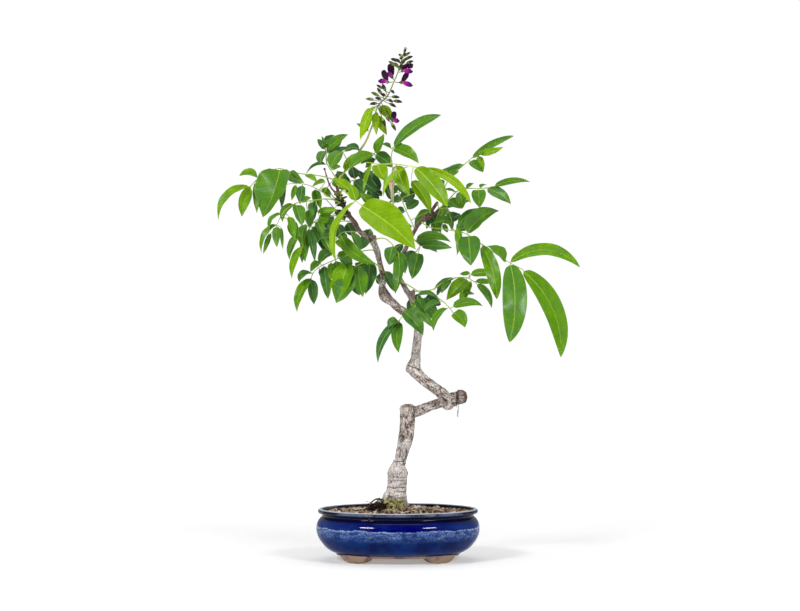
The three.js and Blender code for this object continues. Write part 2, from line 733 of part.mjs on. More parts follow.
function ovalRing(halfWidth, z) {
  const ring = [];
  for (let side = 0; side < POT.sides; side += 1) {
    ring.push(ovalPoint(halfWidth, (2 * Math.PI * side) / POT.sides, z));
  }
  return ring;
}

// The solid of an oval profile that starts and ends on the axis.
function ovalSolid(profile) {
  const [, ...walls] = profile.slice(0, -1);
  const rings = walls.map(([halfWidth, z]) => ovalRing(halfWidth, z));
  const bottom = new THREE.Vector3(0, 0, profile[0][1]);
  const top = new THREE.Vector3(0, 0, profile[profile.length - 1][1]);
  return loft(rings, bottom, top);
}

// A rod through the pot's floor, where a drain hole goes.
function drainCore(x) {
  const geometry = new THREE.CylinderGeometry(DRAIN.radius, DRAIN.radius, DRAIN.reach, DRAIN.sides);
  geometry.rotateX(Math.PI / 2);
  geometry.translate(x, 0, POT.outer[0][1]);
  return geometry;
}

// One bracket foot: a curved strip under the oval that narrows with concave sides.
function foot(bearing) {
  const rings = FOOT.layers.map(({ z, halfSpan, outer, thick }) => {
    const outside = [];
    const inside = [];
    for (let index = 0; index <= FOOT.facets; index += 1) {
      const angle = THREE.MathUtils.degToRad(bearing - halfSpan + (2 * halfSpan * index) / FOOT.facets);
      outside.push(ovalPoint(outer, angle, z));
      inside.unshift(ovalPoint(outer - thick, angle, z));
    }
    return [...outside, ...inside];
  });
  const middle = (ring) => (
    ring.reduce((sum, corner) => sum.add(corner), new THREE.Vector3()).divideScalar(ring.length)
  );
  return loft(rings, middle(rings[0]), middle(rings[rings.length - 1]));
}

function makePot() {
  const bowl = toSolid(ovalSolid([...POT.outer, ...POT.inner]));
  const bearings = [FOOT.bearing, 180 - FOOT.bearing, 180 + FOOT.bearing, 360 - FOOT.bearing];
  const footed = bearings.reduce((whole, bearing) => whole.add(toSolid(foot(bearing))), bowl);
  return [-DRAIN.x, DRAIN.x].reduce((whole, x) => whole.subtract(toSolid(drainCore(x))), footed);
}

// A square screen with long slots, lying on the pot's floor.
function makeScreen(x) {
  const floor = POT.inner[POT.inner.length - 1][1];
  const plate = new THREE.BoxGeometry(SCREEN.width, SCREEN.width, SCREEN.thick);
  const z = floor + SEAT_GAP + SCREEN.thick / 2;
  plate.translate(x, 0, z);
  const pitch = (SCREEN.width - SCREEN.bar) / SCREEN.slots;
  let screen = toSolid(plate);
  for (let row = 0; row < SCREEN.slots; row += 1) {
    const slot = new THREE.BoxGeometry(pitch - SCREEN.bar, SCREEN.width - 2 * SCREEN.bar, SCREEN.thick * 3);
    slot.translate(x + (row - (SCREEN.slots - 1) / 2) * pitch, 0, z);
    screen = screen.subtract(toSolid(slot));
  }
  return screen;
}

// Height of the soil at a share of the way from the wall to the trunk, with coarse grains by formula.
function soilHeight(share, seed) {
  const grains = (randomFrom(seed) - 0.5) * 2 * SOIL.grain;
  return SOIL.edge.z + SOIL.mound * share ** SOIL.rise + grains;
}

function makeSoil(woodWithGap) {
  const rings = SOIL.sides.slice(1).map(([halfWidth, z]) => ovalRing(halfWidth, z));
  for (let index = 0; index < SOIL.rings; index += 1) {
    const share = index / SOIL.rings;
    const halfWidth = THREE.MathUtils.lerp(SOIL.edge.halfWidth, SOIL.innerHalfWidth, share);
    const ring = ovalRing(halfWidth, 0);
    ring.forEach((corner, side) => {
      const seed = index * POT.sides + side;
      corner.z = soilHeight(share, seed);
      corner.x += (randomFrom(SOIL.swaySeed + seed) - 0.5) * 2 * SOIL.sway * share;
    });
    rings.push(ring);
  }
  const bottom = new THREE.Vector3(0, 0, SOIL.sides[0][1]);
  const top = new THREE.Vector3(0, 0, SOIL.edge.z + SOIL.mound);
  return toSolid(loft(rings, bottom, top)).subtract(woodWithGap);
}

// Wood

function makeWood(allowance = 0) {
  const limbs = Object.values(LIMBS).map(({ sides, stations }) => limb(stations, sides, allowance));
  const knuckles = KNUCKLES.map(([x, z, y, halfX, halfY, halfZ]) => (
    ellipsoid(seen(x, z, y), halfX + allowance, halfY + allowance, halfZ + allowance)
  ));
  return joinAll([...limbs, ...knuckles]);
}

// Leaves

// Half width of a leaflet at a share of its length, as a part of its greatest: broadest below the middle.
function leafletOutline(share) {
  return Math.sin(Math.PI * share ** 0.82) ** 0.85;
}

// Half width of a petal in the same way: blunt at both ends and broadest above the middle.
function petalOutline(share) {
  return Math.sqrt(Math.max(0, Math.sin(Math.PI * (0.08 + 0.84 * share ** 0.7))));
}

// The stations of a blade's length where it has its cross-sections.
function bladeStations(width) {
  if (width < BLADE.small.below) return BLADE.small.stations;
  if (width < BLADE.middle.below) return BLADE.middle.stations;
  return BLADE.large.stations;
}

// A thin blade with a folded midrib. Both faces are split into triangles alike.
function blade({
  base, tip, width, turn = 0, bend = 0, outline = leafletOutline, seed = 1, arch = BLADE.arch,
}) {
  const along = tip.clone().sub(base);
  const length = along.length();
  along.normalize();
  const front = LEAF_FACING.clone().addScaledVector(along, -LEAF_FACING.dot(along)).normalize();
  const sideways = new THREE.Vector3().crossVectors(along, front);
  const across = sideways.clone().applyAxisAngle(along, THREE.MathUtils.degToRad(turn));
  const control = base.clone().lerp(tip, 0.5)
    .addScaledVector(front, 2 * arch * length)
    .addScaledVector(sideways, 2 * bend);
  const curve = new THREE.QuadraticBezierCurve3(base, control, tip);
  const normalAt = (share) => new THREE.Vector3().crossVectors(across, curve.getTangent(share)).normalize();
  const place = (centre, side, normal, height) => (
    centre.clone().addScaledVector(across, side).addScaledVector(normal, height)
  );
  const corners = [];
  for (const share of [0, BLADE.stalkLength / length]) {
    const centre = curve.getPoint(share);
    const normal = normalAt(share);
    corners.push(place(centre, -BLADE.stalkWidth / 2, normal, BLADE.thick / 2));
    corners.push(place(centre, BLADE.stalkWidth / 2, normal, BLADE.thick / 2));
    corners.push(place(centre, 0, normal, -BLADE.thick / 2));
  }
  const stations = bladeStations(width);
  stations.forEach((share, index) => {
    const half = (width / 2) * outline(share);
    const centre = curve.getPoint(share);
    const normal = normalAt(share);
    for (const height of [0, -BLADE.thick]) {
      for (const side of [-1, 0, 1]) {
        const wave = (randomFrom(seed * 7 + index * 3 + side) - 0.5) * 2 * BLADE.wave * width;
        const lift = side === 0 ? 0 : half * BLADE.fold + wave;
        corners.push(place(centre, side * half, normal, height + lift));
      }
    }
  });
  const endNormal = normalAt(1);
  corners.push(tip.clone(), place(tip, 0, endNormal, -BLADE.thick));
  return closedGeometry(corners, bladeTriangles(stations.length));
}

// Triangles of a blade: a three-cornered stalk of two stations, then stations with left, middle and
// right corners above and the same below, then a tip with one corner above and one below.
function bladeTriangles(stations) {
  const at = (station) => 6 + station * 6;
  const [left, middle, right, leftUnder, middleUnder, rightUnder] = [0, 1, 2, 3, 4, 5].map(
    (corner) => at(0) + corner,
  );
  const triangles = [
    [0, 2, 1], [0, 1, 4], [0, 4, 3], [0, 3, 5], [0, 5, 2], [1, 2, 5], [1, 5, 4],
    [3, 4, middle], [3, middle, left], [4, right, middle],
    [5, leftUnder, middleUnder], [5, middleUnder, rightUnder],
    [3, left, leftUnder], [3, leftUnder, 5], [right, 4, rightUnder], [4, 5, rightUnder],
  ];
  for (let station = 0; station < stations - 1; station += 1) {
    const here = at(station);
    const next = at(station + 1);
    for (let half = 0; half < 2; half += 1) {
      triangles.push([here + half, here + half + 1, next + half + 1]);
      triangles.push([here + half, next + half + 1, next + half]);
      triangles.push([here + half + 3, next + half + 4, here + half + 4]);
      triangles.push([here + half + 3, next + half + 3, next + half + 4]);
    }
    triangles.push([here, next, next + 3], [here, next + 3, here + 3]);
    triangles.push([next + 2, here + 2, next + 5], [here + 2, here + 5, next + 5]);
  }
  const end = at(stations - 1);
  const above = at(stations);
  const below = above + 1;
  triangles.push([end, end + 1, above], [end + 1, end + 2, above]);
  triangles.push([end + 3, below, end + 4], [end + 4, below, end + 5]);
  triangles.push([end, above, below], [end, below, end + 3]);
  triangles.push([above, end + 2, end + 5], [above, end + 5, below]);
  return triangles;
}

// A place of a frond's stalk, with its depth spread.
function frondPlace([x, z, y]) {
  return seen(x, z, y * (y < 0 ? CROWN_SPREAD.front : CROWN_SPREAD.back));
}

// Places on the straight runs between stations, clear of the stations themselves.
function placesAlong(stations) {
  const runs = stations.slice(1).map((end, run) => (
    RACHIS.rootShares.map((share) => stations[run].clone().lerp(end, share))
  ));
  return runs.flat();
}

// The leaflets of a stalk: each grows from the place on the stalk that is nearest to its base.
function leafletsOn(stations, rows, seed) {
  const samples = placesAlong(stations);
  return rows.map(([baseX, baseZ, tipX, tipZ, width, gain, turn, bend], index) => {
    const gaps = samples.map((sample) => sample.distanceTo(seen(baseX, baseZ, sample.y)));
    const root = samples[gaps.indexOf(Math.min(...gaps))];
    const tip = seen(tipX, tipZ, root.y + gain);
    const trueWidth = width / Math.cos(THREE.MathUtils.degToRad(turn));
    return blade({ base: root, tip, width: trueWidth, turn, bend, seed: seed + index });
  });
}

// The stalk of a frond as a thin tapering tube, fatter by the allowance.
function makeStalk(stalk, sides, allowance = 0) {
  const radii = stalk.map((_, index) => (
    THREE.MathUtils.lerp(RACHIS.radius, RACHIS.tipRadius, index / (stalk.length - 1)) + allowance
  ));
  return tube(stalk.map(frondPlace), radii, sides);
}

function makeFrond({ stalk, leaflets }, seed) {
  return joinAll([makeStalk(stalk, RACHIS.sides), ...leafletsOn(stalk.map(frondPlace), leaflets, seed)]);
}

// Flowering shoot

function makeFlowerShoot() {
  const stations = FLOWER_SHOOT.stem.map(([x, z, y]) => seen(x, z, y));
  const stem = limb(FLOWER_SHOOT.stem, FLOWER_SHOOT.sides);
  return joinAll([stem, ...leafletsOn(stations, FLOWER_SHOOT.leaves, SEEDS.shoot)]);
}

// A thin stalk that swells into a bud at its end.
function makeBud(root, centre, halfLength, halfWidth) {
  const away = centre.clone().sub(root).normalize();
  const along = (distance) => centre.clone().addScaledVector(away, distance);
  const places = [root, along(-halfLength), along(0), along(halfLength)];
  const radii = [BUD.stalkRadius, BUD.neckRadius, halfWidth * BUD.roundness, BUD.neckRadius];
  return tube(places, radii, BUD.sides);
}

function makeRaceme(allowance = 0) {
  const depth = RACEME.stalkDepth;
  const pieces = [limb(RACEME.axis, RACEME.sides, allowance)];
  for (const [footX, footZ, x, z, gain, halfLength, halfWidth] of RACEME.buds) {
    const centre = seen(x, z, depth + gain);
    pieces.push(makeBud(seen(footX, footZ, depth), centre, halfLength + allowance, halfWidth + allowance));
  }
  for (const { foot: [footX, footZ], base: [x, z], depth: floretDepth } of FLORETS) {
    const root = seen(footX, footZ, depth);
    const end = seen(x, z, floretDepth);
    const radii = CALYX.radii.map((radius) => radius + allowance);
    pieces.push(tube([root, root.clone().lerp(end, CALYX.neck), end], radii, CALYX.sides));
  }
  return joinAll(pieces);
}

// An open pea flower: a broad banner that stands up behind a keel.
function makeFloret({ base, banner, keel, depth, width }) {
  const calyx = seen(base[0], base[1], depth);
  const bannerTip = seen(banner[0], banner[1], depth + BANNER.back);
  const keelTip = seen(keel[0], keel[1], depth - KEEL.forward);
  const root = calyx.clone().lerp(bannerTip.clone().lerp(keelTip, 0.5), BANNER.rootShare);
  const { arch, turn } = BANNER;
  const bannerBlade = blade({ base: root, tip: bannerTip, width, outline: petalOutline, arch, turn });
  const keelPlaces = KEEL.shares.map((share) => root.clone().lerp(keelTip, share));
  return joinAll([tube(keelPlaces, KEEL.radii, KEEL.sides), bannerBlade]);
}

// Tag

function roundedCard({ width, height, thick, corner }) {
  const shape = new THREE.Shape();
  const halfWidth = width / 2;
  shape.moveTo(-halfWidth + corner, -height);
  shape.lineTo(halfWidth - corner, -height);
  shape.absarc(halfWidth - corner, -height + corner, corner, -Math.PI / 2, 0);
  shape.lineTo(halfWidth, -corner);
  shape.absarc(halfWidth - corner, -corner, corner, 0, Math.PI / 2);
  shape.lineTo(-halfWidth + corner, 0);
  shape.absarc(-halfWidth + corner, -corner, corner, Math.PI / 2, Math.PI);
  shape.lineTo(-halfWidth, -height + corner);
  shape.absarc(-halfWidth + corner, -height + corner, corner, Math.PI, 1.5 * Math.PI);
  const hole = new THREE.Path();
  hole.absarc(0, -TAG.card.holeInset, TAG.card.holeRadius, 0, 2 * Math.PI, true);
  shape.holes.push(hole);
  return new THREE.ExtrudeGeometry(shape, { depth: thick, bevelEnabled: false, curveSegments: 3 });
}

function makeCard() {
  const card = roundedCard(TAG.card);
  card.rotateX(Math.PI / 2);
  card.translate(TAG.x, TAG.y - TAG.loopRadius + TAG.card.thick / 2, TAG.card.top);
  return toSolid(card);
}

// A loop round the stub that drops in front of it, passes through the card and turns up before it.
function makeTagWire() {
  const { from, to, step, sway } = WIRE.loop;
  const places = [];
  for (let degrees = from; degrees <= to; degrees += step) {
    const angle = THREE.MathUtils.degToRad(degrees);
    places.push(new THREE.Vector3(
      TAG.x + (sway * degrees) / to,
      TAG.y + TAG.loopRadius * Math.cos(angle),
      TAG.stubZ + TAG.loopRadius * Math.sin(angle),
    ));
  }
  for (const [sideways, behind, above] of WIRE.way) {
    places.push(new THREE.Vector3(
      TAG.x + sideways,
      TAG.y - TAG.loopRadius + behind,
      TAG.card.top - TAG.card.holeInset + above,
    ));
  }
  return toSolid(tube(places, places.map(() => WIRE.radius), WIRE.sides));
}

// Assembly

const group = new THREE.Group();
group.name = 'millettia_bonsai';

function addNode(name, solid, finish) {
  const { color, roughness, metalness = 0 } = FINISHES[finish];
  const material = new THREE.MeshStandardMaterial({ color, roughness, metalness });
  const mesh = new THREE.Mesh(toGeometry(solid), material);
  mesh.name = name;
  group.add(mesh);
}

const woodWithGap = makeWood(SEAT_GAP);
addNode('pot', makePot(), 'pot');
addNode('drain_screen_left', makeScreen(-DRAIN.x), 'screen');
addNode('drain_screen_right', makeScreen(DRAIN.x), 'screen');
addNode('soil', makeSoil(woodWithGap), 'soil');
addNode('trunk', makeWood(), 'trunk');

const shoot = makeFlowerShoot().subtract(woodWithGap);
const shootWithGap = toSolid(limb(FLOWER_SHOOT.stem, FLOWER_SHOOT.sides, SEAT_GAP));
addNode('flower_shoot', shoot, 'shoot');

addNode('raceme', makeRaceme().subtract(shootWithGap), 'raceme');
const racemeWithGap = makeRaceme(SEAT_GAP);

// What each frond is cut back from, so that its stalk stops just short of what carries it.
const hosts = { flower_shoot: shootWithGap };
Object.entries(FRONDS).forEach(([name, frond], index) => {
  const carrier = frond.host ? hosts[frond.host] : woodWithGap;
  const solid = makeFrond(frond, SEEDS.frondStep * index).subtract(carrier);
  addNode(name, solid, frond.young ? 'young' : 'leaf');
  hosts[name] = toSolid(makeStalk(frond.stalk, 2 * RACHIS.sides, SEAT_GAP));
});
const driedLeaf = makeFrond(DRIED_LEAF, SEEDS.dried).subtract(hosts.young_upper_front);
addNode('dried_leaf', driedLeaf, 'dried');

FLORETS.forEach((floret, index) => {
  addNode(`floret_${index + 1}`, makeFloret(floret).subtract(racemeWithGap), 'floret');
});

addNode('tag_card', makeCard(), 'card');
addNode('tag_wire', makeTagWire(), 'wire');

export default group;
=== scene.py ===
"""Looks of a millettia bonsai in its oval glazed pot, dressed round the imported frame.

The frame is in metres with +Z up and the front towards -Y. The tables below are in millimetres: x and z as
the eye in front of the tree sees them on the plane y = 0, and then the depth. Every mesh is made in
millimetres and scaled to metres when its object is built.
"""

import json
import logging
import math
from dataclasses import dataclass, field
from enum import Enum
from typing import Callable, Sequence

import bmesh
import bpy
import numpy as np
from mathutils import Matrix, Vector, noise

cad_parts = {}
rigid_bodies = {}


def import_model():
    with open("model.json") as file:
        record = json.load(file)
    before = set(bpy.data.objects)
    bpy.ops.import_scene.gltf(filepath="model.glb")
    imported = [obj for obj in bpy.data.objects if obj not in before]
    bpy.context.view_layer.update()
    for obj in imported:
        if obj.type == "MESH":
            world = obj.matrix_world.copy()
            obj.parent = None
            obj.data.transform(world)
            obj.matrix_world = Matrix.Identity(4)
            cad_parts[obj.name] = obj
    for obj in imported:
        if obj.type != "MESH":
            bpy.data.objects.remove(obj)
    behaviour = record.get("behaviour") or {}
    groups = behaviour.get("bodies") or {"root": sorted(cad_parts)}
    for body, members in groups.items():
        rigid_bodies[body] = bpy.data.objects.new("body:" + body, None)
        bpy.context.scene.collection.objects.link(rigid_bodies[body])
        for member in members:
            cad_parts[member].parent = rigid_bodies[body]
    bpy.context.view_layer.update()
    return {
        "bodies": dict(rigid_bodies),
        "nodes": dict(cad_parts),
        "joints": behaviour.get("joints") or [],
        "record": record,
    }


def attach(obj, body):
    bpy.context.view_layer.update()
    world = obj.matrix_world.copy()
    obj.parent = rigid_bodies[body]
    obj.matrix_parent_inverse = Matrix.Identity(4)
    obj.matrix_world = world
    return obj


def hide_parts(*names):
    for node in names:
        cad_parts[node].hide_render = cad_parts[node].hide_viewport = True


LOG = logging.getLogger("millettia_bonsai")
MM = 0.001
UPWARD = np.array([0.0, 0.0, 1.0])
Array = np.ndarray
Colour = tuple[int, int, int]
Row = tuple[float, ...]
Rows = tuple[Row, ...]
Faces = list[tuple[int, ...]]
Material = bpy.types.Material
Mesh = bpy.types.Mesh
Thing = bpy.types.Object
Draw = np.random.Generator


# Places and curves


@dataclass(frozen=True)
class Eye:
    """The place in front of the tree that the tables are seen from, in millimetres."""

    x: float = 2.7
    z: float = 342.6
    distance: float = 2800.0

    def seen(self, x: float, z: float, y: float) -> Array:
        """Finds the point at depth y that covers the place x, z of the plane y = 0."""
        scale = (self.distance + y) / self.distance
        return np.array([self.x + (x - self.x) * scale, y, self.z + (z - self.z) * scale])

    def on_plane(self, places: Array) -> Array:
        """Finds where the eye sees places on the plane y = 0, as rows of x and z."""
        scale = self.distance / (self.distance + places[:, 1:2])
        return (self.x, self.z) + (places[:, ::2] - (self.x, self.z)) * scale


EYE = Eye()


def unit(vectors: Array) -> Array:
    """Scales one vector, or each row of vectors, to length 1."""
    return vectors / np.maximum(np.linalg.norm(vectors, axis=-1, keepdims=True), 1e-9)


def runs_along(line: Array) -> Array:
    """Measures how far along a line its points are."""
    return np.concatenate([[0.0], np.cumsum(np.linalg.norm(np.diff(line, axis=0), axis=1))])


def round_angles(count: int) -> Array:
    """Gives even angles round a circle."""
    return np.linspace(0, 2 * math.pi, count, endpoint=False)


def smooth_line(points: Sequence[Sequence[float]], steps: int) -> Array:
    """Samples a centripetal curve through points; further columns are blended evenly.

    Args:
        points: Rows of x, y, z and any further values.
        steps: Samples for each span.

    Returns:
        The samples, from the first point to the last.
    """
    points = np.asarray(points, float)
    places = points[:, :3]
    padded = np.vstack([2 * places[0] - places[1], places, 2 * places[-1] - places[-2]])
    gaps = np.maximum(np.linalg.norm(np.diff(padded, axis=0), axis=1), 1e-6) ** 0.5
    shares = np.linspace(0, 1, steps, endpoint=False)[:, None]
    samples = []
    for span in range(len(points) - 1):
        before, start, end, after = padded[span : span + 4]
        first, middle, last = gaps[span : span + 3]
        leave = (start - before) / first - (end - before) / (first + middle) + (end - start) / middle
        arrive = (end - start) / middle - (after - start) / (middle + last) + (after - end) / last
        leave, arrive = leave * middle, arrive * middle
        curve = start + leave * shares + (3 * (end - start) - 2 * leave - arrive) * shares**2
        curve = curve + (2 * (start - end) + leave + arrive) * shares**3
        extra = points[span, 3:] + (points[span + 1, 3:] - points[span, 3:]) * shares
        samples.append(np.hstack([curve, extra]))
    return np.vstack([*samples, points[-1:]])


def seen_line(rows: Rows, steps: int) -> Array:
    """Samples a curve through rows of x seen, z seen, depth and any further values."""
    return smooth_line([(*EYE.seen(*row[:3]), *row[3:]) for row in rows], steps)


def frames_along(line: Array) -> tuple[Array, Array, Array]:
    """Carries a frame along a line without twist.

    Args:
        line: Points of the line.

    Returns:
        Tangents, normals and binormals, a row for each point.
    """
    tangents = unit(np.gradient(line, axis=0))
    start = np.array([0.0, 1.0, 0.0]) if abs(tangents[0][1]) < 0.8 else np.array([1.0, 0.0, 0.0])
    normals = [unit(start - tangents[0] * (start @ tangents[0]))]
    for tangent in tangents[1:]:
        normals.append(unit(normals[-1] - tangent * (normals[-1] @ tangent)))
    return tangents, np.array(normals), np.cross(tangents, normals)


def rough(places: Array, size: float, seed: float = 0.0) -> Array:
    """Gives smooth noise from about -1 to 1 at places, with bumps of a size in millimetres."""
    return np.array([noise.noise(Vector(place)) for place in places / size + seed * 17.3])


# Meshes


def set_values(mesh: Mesh, name: str, rows: Array) -> None:
    """Writes one triple for each corner as an attribute."""
    attribute = mesh.attributes.new(name, "FLOAT_VECTOR", "POINT")
    attribute.data.foreach_set("vector", rows.astype(np.float32).ravel())


def read_rows(source: bpy.types.bpy_prop_collection, key: str) -> Array:
    """Reads rows of three from a collection of a mesh."""
    flat = np.zeros(len(source) * 3, np.float32)
    source.foreach_get(key, flat)
    return flat.reshape(-1, 3).astype(float)


def corner_places(mesh: Mesh) -> Array:
    """Reads the corners of a mesh, in millimetres."""
    return read_rows(mesh.vertices, "co") / MM


@dataclass(kw_only=True)
class MeshMaker:
    """Corners, faces and named values of one piece, and the seed of the random draws that shape it."""

    seed: int = 0
    corners: list[Array] = field(default_factory=list)
    faces: Faces = field(default_factory=list)
    values: dict[str, list[Array]] = field(default_factory=dict)
    count: int = 0

    def __post_init__(self) -> None:
        """Starts the random draws."""
        self.draw = np.random.default_rng(self.seed)

    def add(self, corners: Array, faces: Sequence[Sequence[int]], **values: Array | Row) -> None:
        """Adds one closed surface.

        Args:
            corners: Rows of x, y, z in millimetres.
            faces: Corner numbers of each face.
            **values: A triple for each corner, or one triple for all of them.
        """
        self.corners.append(corners)
        self.faces.extend(tuple(int(corner) + self.count for corner in face) for face in faces)
        for name, given in values.items():
            rows = np.broadcast_to(np.asarray(given, float), (len(corners), 3))
            self.values.setdefault(name, []).append(rows)
        self.count += len(corners)

    def add_tube(self, line: Array, radii: Array | float, sides: int, **values: Row) -> None:
        """Adds a tube with domed ends.

        Args:
            line: Points of its middle.
            radii: Radius at each point, or one for all.
            sides: Corners round it.
            **values: One triple for the whole tube, for each attribute.
        """
        tangents, normals, binormals = frames_along(line)
        angles = round_angles(sides)[None, :, None]
        order = [0, *range(len(line)), len(line) - 1]
        shrink, push = np.ones(len(order)), np.zeros(len(order))
        shrink[[0, -1]], push[[0, -1]] = 0.45, (-0.4, 0.4)
        radii = np.broadcast_to(radii, len(line))[order]
        centres = line[order] + tangents[order] * (push * radii)[:, None]
        circles = normals[order][:, None] * np.cos(angles) + binormals[order][:, None] * np.sin(angles)
        rings = centres[:, None] + circles * (shrink * radii)[:, None, None]
        self.add(rings.reshape(-1, 3), ring_faces(len(order), sides), **values)

    def mesh(self, name: str) -> Mesh:
        """Makes the mesh, in metres, with its values as attributes."""
        made = bpy.data.meshes.new(name)
        made.from_pydata((np.vstack(self.corners) * MM).tolist(), [], self.faces, False)
        for key, blocks in self.values.items():
            set_values(made, key, np.vstack(blocks))
        made.update()
        return made

    def shaped(self, name: str, *modifiers: tuple[str, dict[str, object]]) -> Mesh:
        """Makes the mesh after modifiers have run on it.

        Args:
            name: Name of the mesh.
            *modifiers: Kind and settings of each modifier.

        Returns:
            The mesh, in metres.
        """
        holder = linked("helper", self.mesh("helper"))
        for kind, settings in modifiers:
            modifier = holder.modifiers.new(kind, kind)
            for key, value in settings.items():
                setattr(modifier, key, value)
        graph = bpy.context.evaluated_depsgraph_get()
        made = bpy.data.meshes.new_from_object(holder.evaluated_get(graph))
        made.name = name
        bpy.data.meshes.remove(holder.data)
        return made

    def place(
        self, name: str, finish: Material, slot: str, replaces: Sequence[str] = (), crease: float = 180.0
    ) -> None:
        """Makes the piece from what is collected, and ties it to the frame like the function place."""
        place(self.mesh(name), [finish], slot, replaces, crease)


def linked(name: str, data: bpy.types.ID) -> Thing:
    """Makes an object and links it to the scene.

    Args:
        name: Its name.
        data: Its mesh, light or camera.

    Returns:
        The object.
    """
    made = bpy.data.objects.new(name, data)
    bpy.context.scene.collection.objects.link(made)
    return made


def place(
    mesh: Mesh, finishes: Sequence[Material], slot: str, replaces: Sequence[str] = (), crease: float = 180.0
) -> Thing:
    """Puts a finished mesh into the scene under its own name and ties it to the frame.

    Args:
        mesh: Mesh in metres.
        finishes: Its materials.
        slot: Material slot of the record.
        replaces: CAD nodes that the piece stands for.
        crease: Angle in degrees beyond which an edge is sharp.

    Returns:
        The object.
    """
    mesh.set_sharp_from_angle(angle=math.radians(crease))
    piece = linked(mesh.name, mesh)
    for material in finishes:
        mesh.materials.append(material)
    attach(piece, "root")
    if replaces:
        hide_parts(*replaces)
    LOG.info("%s: %d faces", piece.name, len(mesh.polygons))
    return piece


def ring_faces(rings: int, sides: int, capped: bool = True) -> Faces:
    """Makes quads between rings of corners that are stored one after the other.

    Args:
        rings: Number of rings.
        sides: Corners in each ring.
        capped: Whether the first and the last ring are closed by a face.

    Returns:
        The faces.
    """
    faces = []
    for low in range(0, (rings - 1) * sides, sides):
        for side in range(sides):
            after = (side + 1) % sides
            faces.append((low + side, low + after, low + sides + after, low + sides + side))
    if capped:
        faces.append(tuple(reversed(range(sides))))
        faces.append(tuple(range((rings - 1) * sides, rings * sides)))
    return faces


def ball_corners(level: int) -> tuple[Array, Faces]:
    """Makes a ball of even triangles with radius 1.

    Args:
        level: Rounds of splitting, 1 for 20 faces.

    Returns:
        Corners and faces.
    """
    made = bmesh.new()
    bmesh.ops.create_icosphere(made, subdivisions=level, radius=1.0)
    corners = np.array([list(vertex.co) for vertex in made.verts])
    faces = [tuple(vertex.index for vertex in face.verts) for face in made.faces]
    made.free()
    return corners, faces


# Node sheets


@dataclass(frozen=True)
class Value:
    """An output of a node sheet that takes part in arithmetic and feeds further nodes."""

    sheet: "Sheet"
    socket: bpy.types.NodeSocket

    def step(self, kind: str, *terms: object) -> "Value":
        """Adds one step of arithmetic, by Blender's name of its kind, on numbers or values."""
        return self.sheet.value("Math", 0, *terms, operation=kind)

    def __add__(self, other: object) -> "Value":
        """Adds a number or a value."""
        return self.step("ADD", self, other)

    def __mul__(self, other: object) -> "Value":
        """Multiplies by a number or a value."""
        return self.step("MULTIPLY", self, other)

    def __sub__(self, other: object) -> "Value":
        """Subtracts a number or a value."""
        return self.step("SUBTRACT", self, other)

    def __rsub__(self, other: object) -> "Value":
        """Is subtracted from a number."""
        return self.step("SUBTRACT", other, self)

    def __abs__(self) -> "Value":
        """Drops its sign."""
        return self.step("ABSOLUTE", self)

    def fraction(self) -> "Value":
        """Keeps what goes beyond the last whole number."""
        return self.step("FRACT", self)

    def parts(self) -> list["Value"]:
        """Splits a triple into its three values."""
        return [Value(self.sheet, part) for part in self.sheet.node("SeparateXYZ", self).outputs]

    def stretched(self, *scale: float) -> "Value":
        """Scales a triple by another."""
        return self.sheet.value("Mapping", 0, self, Scale=scale)

    def band(self, low: float, high: float) -> "Value":
        """Turns it into 0 at low and 1 at high, smoothly in between."""
        return self.sheet.value("MapRange", 0, self, low, high, interpolation_type="SMOOTHSTEP")

    def ramp(self, stops: Rows) -> "Value":
        """Turns it into a colour.

        Args:
            stops: Rows of a place from 0 to 1 and a screen colour.

        Returns:
            The colour.
        """
        made = self.sheet.node("ValToRGB", self)
        elements = made.color_ramp.elements
        while len(elements) < len(stops):
            elements.new(0.5)
        for element, (position, *colour) in zip(elements, stops):
            element.position, element.color = position, shade(*colour)
        return Value(self.sheet, made.outputs[0])

    def mix(self, first: object, second: object, kind: str = "RGBA") -> "Value":
        """Mixes two colours, or two numbers, with this as the share of the second.

        Args:
            first: The first.
            second: The second.
            kind: Blender's name of what is mixed.

        Returns:
            The mixture.
        """
        made = self.sheet.node("Mix", self, data_type=kind)
        low, out = (6, 2) if kind == "RGBA" else (2, 0)
        self.sheet.feed(made.inputs[low], first)
        self.sheet.feed(made.inputs[low + 1], second)
        return Value(self.sheet, made.outputs[out])

    def level(self, first: object, second: object) -> "Value":
        """Mixes two numbers, with this as the share of the second."""
        return self.mix(first, second, "FLOAT")


